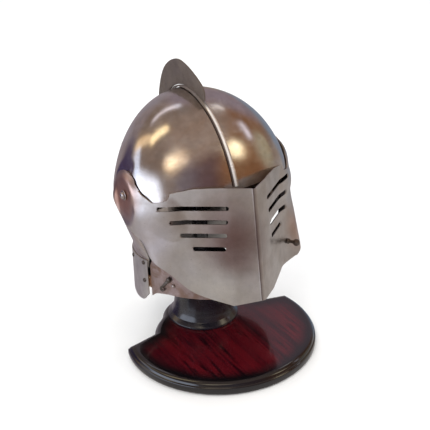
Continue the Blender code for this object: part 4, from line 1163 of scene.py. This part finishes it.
def build_neck_guard():
    angles = spread(COLLAR_START, 2 * math.pi - COLLAR_START, 145)
    levels = spread(66 * MM, 138 * MM, 28)
    outer = [[ring_point(angle, z) for angle in angles] for z in levels]
    inner = [[ring_point(angle, z, SHEET) for angle in angles] for z in levels]
    lower = curve([(19, 88), (25, 81), (34, 73), (54, 68.4)])
    front, back = 19 * MM, 150 * MM
    outline = [(front, collar_top(front))] + lower + [(back, 68.4 * MM), (back, collar_top(back))]
    holes = rivet_bores(collar_rivet_places(), 12 * MM) + rivet_bores(strap_rivet_places(), 16 * MM)
    mesh = carve(sheet_shell(outer, inner), holes, within=prism(outline))
    sheet_piece("collar_sheet", mesh, outer, "neck_guard", "collar_steel")


# ---------------------------------------------------------------- fasteners
def rivet_profile(head, head_height, shank, reach, tail):
    dome = [(head, 0)]
    for angle in spread(0.2, math.pi / 2, 9)[:-1]:
        dome.append((head * math.cos(angle) ** 0.8, head_height * math.sin(angle)))
    dome.append((0, head_height))
    end = -reach
    tail_end = end - 1.1 * MM
    return [(0, tail_end), (tail * 0.7, tail_end), (tail, end), (shank, end), (shank, 0)] + dome


def build_fasteners():
    head, height = 2.6 * MM, 1.6 * MM
    groups = (("neck_guard_rivet", collar_rivet_places(), 2 * SHEET + 4 * GAP),
              ("strap_rivet", strap_rivet_places(), SHEET + 2.2 * MM + 6 * GAP),
              ("liner_rivet", liner_rivet_places(), LINER_CLEARANCE + LINER_THICKNESS + 2 * GAP))
    for name, places, reach in groups:
        profile = rivet_profile(head, height, RIVET_SHANK, reach, RIVET_SHANK * 1.9)
        for index, (point, outward) in enumerate(places):
            mesh = lathe(profile, turn_to(outward, point + outward * GAP), 28)
            piece(f"round_{name}_{index + 1}", mesh, f"{name}_{index + 1}", "dark_steel")
    visor_face = PIVOT_FLAT_X + BEVOR_STANDOFF + VISOR_STANDOFF + 2 * SHEET
    washer_x = visor_face + 3 * GAP
    seat_x = washer_x + WASHER_DEPTH + GAP
    burr_x = PIVOT_FLAT_X - SHEET - 4 * GAP
    inner = PIVOT_SHANK_RADIUS + GAP
    for side, word in ((-1, "right"), (1, "left")):
        washer = [(inner, 0), (6.2 * MM, 0), (6.2 * MM, 0.5 * MM), (5.7 * MM, WASHER_DEPTH),
                  (inner, WASHER_DEPTH)]
        burr = [(inner, -1 * MM), (5.5 * MM, -1 * MM), (5.5 * MM, 0), (inner, 0)]
        reach = seat_x - burr_x + 1 * MM + GAP
        rivet = rivet_profile(4.6 * MM, 3.2 * MM, PIVOT_SHANK_RADIUS, reach, 3.6 * MM)
        for name, x, shape, finish in (("washer", washer_x, washer, "satin_steel"),
                                       ("burr", burr_x, burr, "dark_steel"),
                                       ("rivet", seat_x, rivet, "satin_steel")):
            placement = turn_to((side, 0, 0), (side * x, PIVOT_Y, PIVOT_Z))
            if shape is rivet:
                mesh = lathe(shape, placement)
            else:
                mesh = lathe(fillet(shape, 0.2 * MM, True, 2), placement, 48, looped=True)
            piece(f"round_pivot_{name}_{word}", mesh, f"pivot_{name}_{word}", finish)


def build_latch():
    point, outward = bevor_face(LATCH_POINT.y, LATCH_POINT.z)
    lean = Matrix.Rotation(LATCH_LEAN, 4, outward)
    across = lean @ UP.cross(outward)
    up = lean @ UP
    seat = point + outward * LATCH_LIFT
    turns = spread(math.radians(-50), math.radians(230), 33)
    eye = [(3.4 * math.cos(a), 3.4 * math.sin(a)) for a in turns]
    bar = [(-2.0, -8), (-1.7, -14), (-2.3, -18.5), (0.4, -21.5), (4.3, -20.6), (5.2, -16.8),
           (3.4, -16.4), (2.6, -18.6), (0.9, -18.6), (1.2, -14), (1.8, -8)]
    outline = scaled(eye + fillet(bar, 1.2))
    rings = [[seat + across * a + up * b + outward * depth for a, b in outline]
             for depth in (0, LATCH_THICKNESS)]
    hook = carve(rings_mesh(rings), [bore(seat, outward, RIVET_BORE, 8 * MM)])
    piece("latch_bar", bevelled(hook, 0.3 * MM), "latch_hook", "dark_steel", crisp=40)
    head_seat = point + outward * (LATCH_LIFT + LATCH_THICKNESS + GAP)
    reach = LATCH_LIFT + LATCH_THICKNESS + GAP + SHEET + 2 * GAP
    screw = rivet_profile(3 * MM, 1.6 * MM, RIVET_SHANK, reach, 2.6 * MM)
    piece("latch_pin", lathe(screw, turn_to(outward, head_seat), 32), "latch_rivet", "dark_steel")
    stud_point, stud_out = bevor_face(STUD_Y, STUD_Z)
    stud = rivet_profile(2.3 * MM, 1.8 * MM, RIVET_SHANK, SHEET + 3 * GAP, 2.4 * MM)
    button = lathe(stud, turn_to(stud_out, stud_point + stud_out * GAP), 32)
    piece("latch_button", button, "latch_stud", "satin_steel")


# ---------------------------------------------------------------- leather
def stitches(points, directions, ups, length=2.4 * MM, radius=0.35 * MM):
    """Short rounded thread stitches at points, lying along the directions, proud of the leather."""
    profile = [(0, -length / 2), (radius * 0.7, -length / 2 + radius * 0.4), (radius, -length * 0.2),
               (radius, length * 0.2), (radius * 0.7, length / 2 - radius * 0.4), (0, length / 2)]
    meshes = []
    for point, along, up in zip(points, directions, ups):
        meshes.append(lathe(profile, turn_to(along, point + up * radius * 0.35), 6))
    return joined(meshes)


def path_stitches(stations, offsets, face, spacing=4 * MM):
    """Stitch rows along swept stations at sideways offsets, on the face at a height above the path."""
    points, directions, ups = [], [], []
    for offset in offsets:
        travelled = spacing / 2
        for (a, across, up), (b, _, _) in zip(stations, stations[1:]):
            step = (b - a).length
            while travelled < step:
                points.append(a + (b - a) * (travelled / step) + across * offset + up * face)
                directions.append((b - a).normalized())
                ups.append(up * math.copysign(1, face) if face else up)
                travelled += spacing
            travelled -= step
    return stitches(points, directions, ups)


def crowned(half, thick, count=9):
    """Strap section with softly crowned faces and rounded edges, between -thick and 0."""
    points = []
    for face in (1, -1):
        for t in spread(-1, 1, count):
            bulge = (1 - abs(t) ** 4) ** 0.5
            points.append((t * half * face, -thick / 2 + face * (thick / 2) * mix(0.45, 1, bulge)))
    return points


def build_liner():
    thick = LINER_THICKNESS
    rings = []
    steps = 160
    holes = rivet_bores(liner_rivet_places(), 34 * MM)
    middle = (BAND_BOTTOM_Z + BAND_TOP_Z) / 2
    half = (BAND_TOP_Z - BAND_BOTTOM_Z) / 2
    for step in range(steps):
        angle = 2 * math.pi * step / steps
        ring = []
        for along, depth in crowned(half, thick):
            z = middle + along
            ring.append(plan_point(section(z, -LINER_CLEARANCE + depth), angle, z))
        rings.append(ring)
    band = carve(rings_mesh(rings, looped=True), holes)
    piece("leather_band", band, "liner_band", "leather", crisp=60)
    stations = []
    for step in range(steps + 1):
        angle = 2 * math.pi * step / steps
        point = plan_point(section(middle, -LINER_CLEARANCE - thick), angle, middle)
        ahead = plan_point(section(middle, -LINER_CLEARANCE - thick), angle + 0.01, middle)
        inward = facing((ahead - point).cross(UP), Vector((0, CROWN_Y, middle)) - point)
        stations.append((point, UP, inward))
    seams = path_stitches(stations, (-half + 3 * MM, half - 3 * MM), 0.1 * MM)

    inset = LINER_CLEARANCE + thick + STRAP_CLEARANCE
    start = math.asin((BAND_BOTTOM_Z + 3 * MM - SKULL_LEVEL_Z) / SKULL_RISE)
    lifts = spread(start, math.pi / 2, 36)
    path = [middle_point(lift_z(lift), False) for lift in lifts]
    path += [middle_point(lift_z(lift), True) for lift in lifts[::-1][1:]]
    long_way = [(Vector((0, y, z)) - up * inset, ACROSS, up)
                for (y, z), up in zip(path, path_normals(path))]
    inset += thick + STRAP_CLEARANCE
    half_arch = [(side_of(section(lift_z(lift)), CROWN_Y), lift_z(lift)) for lift in lifts]
    arch = [(-x, z) for x, z in half_arch] + half_arch[::-1][1:]
    cross_way = []
    for (x, z), up in zip(arch, path_normals(arch)):
        outward = Vector((up.y, 0, up.z))
        cross_way.append((Vector((x, CROWN_Y, z)) - outward * inset, Vector((0, 1, 0)), outward))
    rows = (-STRAP_HALF_WIDTH + 2.5 * MM, STRAP_HALF_WIDTH - 2.5 * MM)
    threads = [seams]
    for word, way in (("long", long_way), ("cross", cross_way)):
        strap = sweep(way, crowned(STRAP_HALF_WIDTH, thick))
        piece(f"leather_strap_{word}", strap, f"liner_strap_{word}", "leather", crisp=60)
        threads.append(path_stitches(way, rows, -thick))
    extra("liner_stitching", joined(threads), "liner_band", "thread", crisp=180)


def strap_path(side, end_angle, inset):
    """Chin strap centre line from the collar forwards, rising to the chin."""
    points = []
    start = math.radians(92)
    for angle in spread(start, end_angle, 56):
        weight = 1 - angle / start
        tuck = SHEET + 2 * GAP + inset * smooth(weight * 1.6)
        length = mix(RING_FRONT - tuck, CHIN_REACH - inset, smooth(weight * 1.6))
        plan = (RING_Y, length, RING_BACK - tuck, RING_HALF_WIDTH - tuck, 2, 2)
        point = plan_point(plan, angle, mix(STRAP_RIVET_Z, CHIN_Z, smooth(weight * 1.3)))
        point.x *= side
        points.append(point)
    result = []
    for index, point in enumerate(points):
        along = points[min(index + 1, len(points) - 1)] - points[max(index - 1, 0)]
        outward = facing(Vector((along.y, -along.x, 0)), point - Vector((0, RING_Y, point.z)))
        result.append((point, UP, outward))
    return result


def build_chin_strap():
    thick = CHIN_STRAP_THICKNESS
    overlap = math.radians(-6)
    threads = []
    for side, word, inset in ((-1, "right", 0), (1, "left", thick + 2 * GAP)):
        path = strap_path(side, overlap, inset)
        mesh = sweep(path, crowned(CHIN_STRAP_HALF, thick))
        mesh = carve(mesh, rivet_bores(strap_rivet_places(), 16 * MM))
        piece(f"leather_chin_strap_{word}", mesh, f"chin_strap_{word}", "leather", crisp=60)
        threads.append(path_stitches(path[6:], (-CHIN_STRAP_HALF + 2 * MM, CHIN_STRAP_HALF - 2 * MM), 0))
    extra("chin_stitching", joined(threads), "chin_strap_left", "thread", crisp=180)


def build_gap_shade():
    """Soft near-black leather-look strips inside the collar that close the gap to the bevor on each side; they are
    a dark sheet standing for the shade in that gap.
    """
    for side, word in ((-1, "right"), (1, "left")):
        rings = []
        for degrees in spread(*GAP_SHADE_DEGREES[word], 48):
            ring = []
            for across, depth in crowned(GAP_SHADE_HALF_HEIGHT, GAP_SHADE_THICKNESS):
                point = ring_point(math.radians(degrees), GAP_SHADE_Z + across, GAP_SHADE_INSET - depth)
                ring.append(Vector((side * point.x, point.y, point.z)))
            rings.append(ring)
        extra(f"collar_gap_shade_{word}", rings_mesh(rings), "chin_strap_left", "gap_shade_leather", crisp=60)


# ---------------------------------------------------------------- stand
def plaque_outline(inset):
    """Plan outline: round front, two shoulders, smaller round back that reaches behind the neck."""
    front = PLAQUE_FRONT_RADIUS - inset
    back = PLAQUE_BACK_RADIUS - inset
    corner = PLAQUE_CORNER - inset / front
    shoulder = PLAQUE_SHOULDER - 0.6 * inset / back
    points = [(front * math.sin(a), -front * math.cos(a)) for a in spread(-corner, corner, 161)]
    for angle in spread(shoulder, 2 * math.pi - shoulder, 97):
        reach = back + PLAQUE_BACK_REACH * smooth((-math.cos(angle) - 0.8) / 0.2)
        points.append((reach * math.sin(angle), -reach * math.cos(angle)))
    return points


def build_stand():
    top, bottom = PLAQUE_TOP_Z, PLAQUE_BOTTOM_Z
    edge = [(bottom, 1.2), (bottom + 0.6 * MM, 0.2), (bottom + 1.5 * MM, 0), (bottom + 8 * MM, 0),
            (bottom + 9 * MM, 0.5), (bottom + 9.5 * MM, 1.4), (bottom + 9.9 * MM, 1.8),
            (bottom + 11 * MM, 2.0), (bottom + 12.4 * MM, 2.7), (bottom + 13.4 * MM, 3.7),
            (bottom + 14.4 * MM, 5.2), (top, 7.4)]
    levels = [(z, inset * MM) for z, inset in edge] + [(top, inset * MM) for inset in spread(9, 60, 18)]
    rings = [[(x, y, z) for x, y in plaque_outline(inset)] for z, inset in levels]
    mesh = rings_mesh(rings)
    insets = [inset for _, inset in levels for _ in range(len(rings[0]))]
    mesh.attributes.new("inset", "FLOAT", "POINT").data.foreach_set("value", insets)
    piece("plaque_wood", mesh, "stand_plaque", "lacquered_wood", crisp=50)
    pad = [(0.0, 6.6), (0.25 * MM, 6.1), (0.75 * MM, 6.0), (1.25 * MM, 6.1), (1.5 * MM, 6.6)]
    rings = [[(x, y, z) for x, y in plaque_outline(inset * MM)] for z, inset in pad]
    piece("plaque_felt", rings_mesh(rings), "stand_felt", "felt")

    foot = low("stand_neck").z
    r = NECK_RADIUS
    outer = [(r + 3 * MM, foot + 8 * MM), (r, foot + 17 * MM), (r - 2 * MM, foot + 35 * MM),
             (r, NECK_TOP_Z - 14 * MM), (r - 1.5 * MM, NECK_TOP_Z - 5 * MM), (r - 6 * MM, NECK_TOP_Z)]
    profile = [(0, foot), (NECK_FOOT_RADIUS, foot), (NECK_FOOT_RADIUS, foot + 3 * MM)]
    profile += curve_through(outer, 8)
    sink = low("support_post").z - GAP
    profile += [(POST_RADIUS + GAP, NECK_TOP_Z), (POST_RADIUS + GAP, sink), (0, sink)]
    axis = Matrix.Translation((0, NECK_Y, 0))
    neck = lathe(fillet(profile, 0.8 * MM), axis, 96)
    piece("neck_turned", neck, "stand_neck", "black_lacquer", crisp=50)
    start, end = low("support_post").z, high("support_post").z
    post = fillet([(0, start), (POST_RADIUS, start), (POST_RADIUS, end), (0, end)], 1 * MM)
    piece("post_turned", lathe(post, axis, 48), "support_post", "black_lacquer", crisp=50)


# Half section of the crown pad as shares of its radius and height
PAD_BASE = [(0, 0), (0.86, 0)]
PAD_SIDE = [(0.95, 0.10), (0.985, 0.24), (0.965, 0.33), (1.0, 0.38), (0.965, 0.43), (0.93, 0.58),
            (0.80, 0.78), (0.55, 0.93), (0.25, 0.99), (0, 1)]
PAD_FOLDS = 16
FOLD_DEPTH = 0.25 * MM


def build_pad():
    """Crown pad: a felt-covered cushion with a piped seam round its widest level."""
    base, top = low("crown_pad").z, high("crown_pad").z
    height = top - base
    profile = [(PAD_RADIUS * wide, base + height * share)
               for wide, share in PAD_BASE + curve_through(PAD_SIDE, 5)]
    mesh = lathe(profile, Matrix.Translation((0, PAD_Y, 0)), 96)
    for vertex in mesh.vertices:
        x, y = vertex.co.x, vertex.co.y - PAD_Y
        share = smooth((math.hypot(x, y) - 0.5 * PAD_RADIUS) / (0.5 * PAD_RADIUS))
        fold = FOLD_DEPTH * math.cos(PAD_FOLDS * math.atan2(y, x)) * share
        if vertex.co.z > base + height * 0.05:
            vertex.co.z = min(vertex.co.z + fold - FOLD_DEPTH, top)
    piece("pad_cushion", mesh, "crown_pad", "felt", crisp=70)


# ---------------------------------------------------------------- build
for build in (build_skull, build_crest, build_neck_guard, build_bevor, build_visor, build_fasteners,
              build_latch, build_liner, build_chin_strap, build_gap_shade, build_stand, build_pad):
    build()

# CAD nodes that stay as they are, with their new finish
KEPT = {"neck_screw_1": "dark_steel", "neck_screw_2": "dark_steel", "neck_screw_3": "dark_steel",
        "peg_nut": "dark_steel", "chin_buckle": "satin_steel"}
for node, finish in KEPT.items():
    shown = frame["nodes"][node]
    for material_slot in shown.material_slots:
        material_slot.material = MATERIALS[finish]


# ---------------------------------------------------------------- studio
def paper(graph):
    tone = graph.blend(graph.noise(graph.place(), 30, 4), (0.93, 0.93, 0.93), (0.90, 0.90, 0.90))
    return {"Base_Color": tone, "Roughness": 0.9}


# Lamps: name, place, target, size, power and colour
STUDIO_LAMPS = (
    ("key", (-1.2, -1.1, 1.5), (0, 0, 0.2), 0.9, 16, (1.0, 0.97, 0.93)),
    ("fill", (1.4, -0.9, 0.9), (0, 0, 0.2), 1.0, 7, (1.0, 0.93, 0.86)),
    ("back", (0.3, 1.4, 1.4), (0, 0, 0.25), 1.0, 7, (0.88, 0.93, 1.0)),
)


def build_studio():
    """Pale floor and three soft lamps, none of them seen in the polished steel."""
    floor_mesh = bpy.data.meshes.new("studio_floor")
    corners = [(x * FLOOR_REACH, y * FLOOR_REACH, 0) for x, y in ((-1, -1), (1, -1), (1, 1), (-1, 1))]
    floor_mesh.from_pydata(corners, [], [(0, 1, 2, 3)])
    floor = linked("studio_floor", floor_mesh)
    floor.location.z = -FLOOR_GAP

    make_material("floor_paper", paper)
    floor_mesh.materials.append(MATERIALS["floor_paper"])
    floor.visible_glossy = False

    for name, place, target, size, power, colour in STUDIO_LAMPS:
        light = bpy.data.lights.new(name, "AREA")
        light.shape = "DISK"
        light.size = size
        light.energy = power
        light.color = colour
        lamp = linked(name, light)
        lamp.location = place
        lamp.visible_glossy = False
        lamp.rotation_euler = (Vector(target) - Vector(place)).to_track_quat("-Z", "Y").to_euler()


def arc_weight(graph, direction, start, end, radius, soft):
    """1 within a radius of the arc between two directions, easing to 0; angles in degrees."""
    start, end = Vector(start).normalized(), Vector(end).normalized()
    along = end - start
    if along.length > 1e-6:
        local = graph.vector("SUBTRACT", direction, tuple(start))
        share = graph.vector("DOT_PRODUCT", local, tuple(along / along.length_squared))
        step = graph.scaled(tuple(along), graph.clamp(share))
        nearest = graph.vector("NORMALIZE", graph.vector("ADD", step, tuple(start)))
    else:
        nearest = tuple(start)
    cosine = graph.vector("DOT_PRODUCT", direction, nearest)
    return graph.ease(cosine, math.cos(math.radians(radius + soft)), math.cos(math.radians(radius)))


def build_world():
    """White studio for the eye and soft light, with a darker warm room seen in the polished steel."""
    world = bpy.data.worlds.new("studio")
    bpy.context.scene.world = world
    world.use_nodes = True
    tree = world.node_tree
    tree.nodes.clear()
    graph = Graph(tree)
    direction = graph.add("TexCoord").outputs["Generated"]
    up = graph.axis(direction, "Z")
    room = graph.blend(graph.ease(up, -0.3, 0.15), (0.50, 0.47, 0.45), (0.28, 0.22, 0.19))
    for *arc, colour in ROOM + LAMPS:
        room = graph.blend(arc_weight(graph, direction, *arc), room, colour)
    glossy = graph.add("LightPath").outputs["Is Glossy Ray"]
    colour = graph.blend(glossy, (1.0, 1.0, 1.0), room)
    background = graph.add("Background", Color=colour, Strength=1.0)
    output = graph.add("OutputWorld")
    tree.links.new(background.outputs[0], output.inputs["Surface"])


# Tones of the room, and lamps in it, by direction: start, end, radius and softness in degrees, colour
ROOM = [
    ((0.13, -0.55, 0.83), (0.13, -0.55, 0.83), 15, 40, (0.39, 0.30, 0.25)),
    ((-0.26, -0.88, 0.41), (-0.26, -0.88, 0.41), 8, 18, (0.23, 0.20, 0.24)),
    ((0.22, -0.90, 0.37), (0.22, -0.90, 0.30), 10, 20, (0.15, 0.09, 0.10)),
    ((0.83, 0.13, 0.55), (0.60, -0.73, 0.30), 12, 16, (0.27, 0.13, 0.06)),
    ((0.955, -0.18, 0.24), (0.955, -0.18, 0.24), 6, 10, (0.50, 0.45, 0.32)),
    ((0.0, 1.0, 0.05), (0.0, 0.97, -0.25), 14, 22, (0.33, 0.29, 0.32)),
    ((0.45, 0.65, 0.60), (0.69, 0.54, 0.48), 10, 18, (0.32, 0.26, 0.30)),
    ((0.82, 0.57, -0.08), (0.82, 0.57, -0.08), 9, 14, (0.26, 0.32, 0.42)),
    ((-0.525, 0.83, -0.20), (-0.525, 0.83, -0.10), 10, 14, (0.08, 0.06, 0.13)),
]
LAMPS = [
    ((-0.709, 0.614, 0.347), (-0.975, 0.210, 0.067), 3, 7, (1.2, 1.4, 1.8)),
    ((-0.975, 0.210, 0.067), (-0.935, -0.320, 0.151), 9, 9, (2.0, 2.2, 2.6)),
    ((-0.600, 0.722, 0.345), (-0.595, 0.236, 0.768), 1, 6, (1.2, 0.9, 0.55)),
    ((-0.595, 0.236, 0.768), (-0.300, 0.100, 0.900), 1.5, 6, (2.2, 1.8, 1.1)),
    ((-0.560, -0.480, 0.670), (-0.300, -0.590, 0.740), 2, 9, (1.5, 1.25, 0.95)),
    ((-0.520, -0.520, 0.660), (-0.470, -0.540, 0.690), 1.5, 6, (2.6, 2.3, 1.7)),
    ((-0.321, 0.620, 0.715), (0.190, 0.458, 0.868), 1.2, 2.5, (1.5, 1.5, 1.7)),
    ((0.589, -0.561, 0.582), (0.589, -0.561, 0.582), 4, 7, (2.6, 2.3, 1.6)),
    ((0.585, 0.205, 0.785), (0.540, 0.250, 0.800), 1.5, 2.0, (2.0, 2.0, 2.0)),
    ((0.758, -0.069, 0.649), (0.828, -0.246, 0.503), 1.0, 2.0, (1.5, 1.5, 1.7)),
]

build_studio()
build_world()

camera_data = bpy.data.cameras.new("camera")
camera_data.lens = LENS_MM
camera_data.sensor_width = SENSOR_MM
camera = linked("camera", camera_data)
camera.location = CAMERA_AIM + TOWARDS_CAMERA * CAMERA_DISTANCE
turn = (-TOWARDS_CAMERA).to_track_quat("-Z", "Y").to_matrix().to_4x4()
camera.rotation_euler = (turn @ Matrix.Rotation(math.radians(ROLL_DEGREES), 4, "Z")).to_euler()
bpy.context.scene.camera = camera
bpy.context.scene.view_settings.view_transform = "Standard"
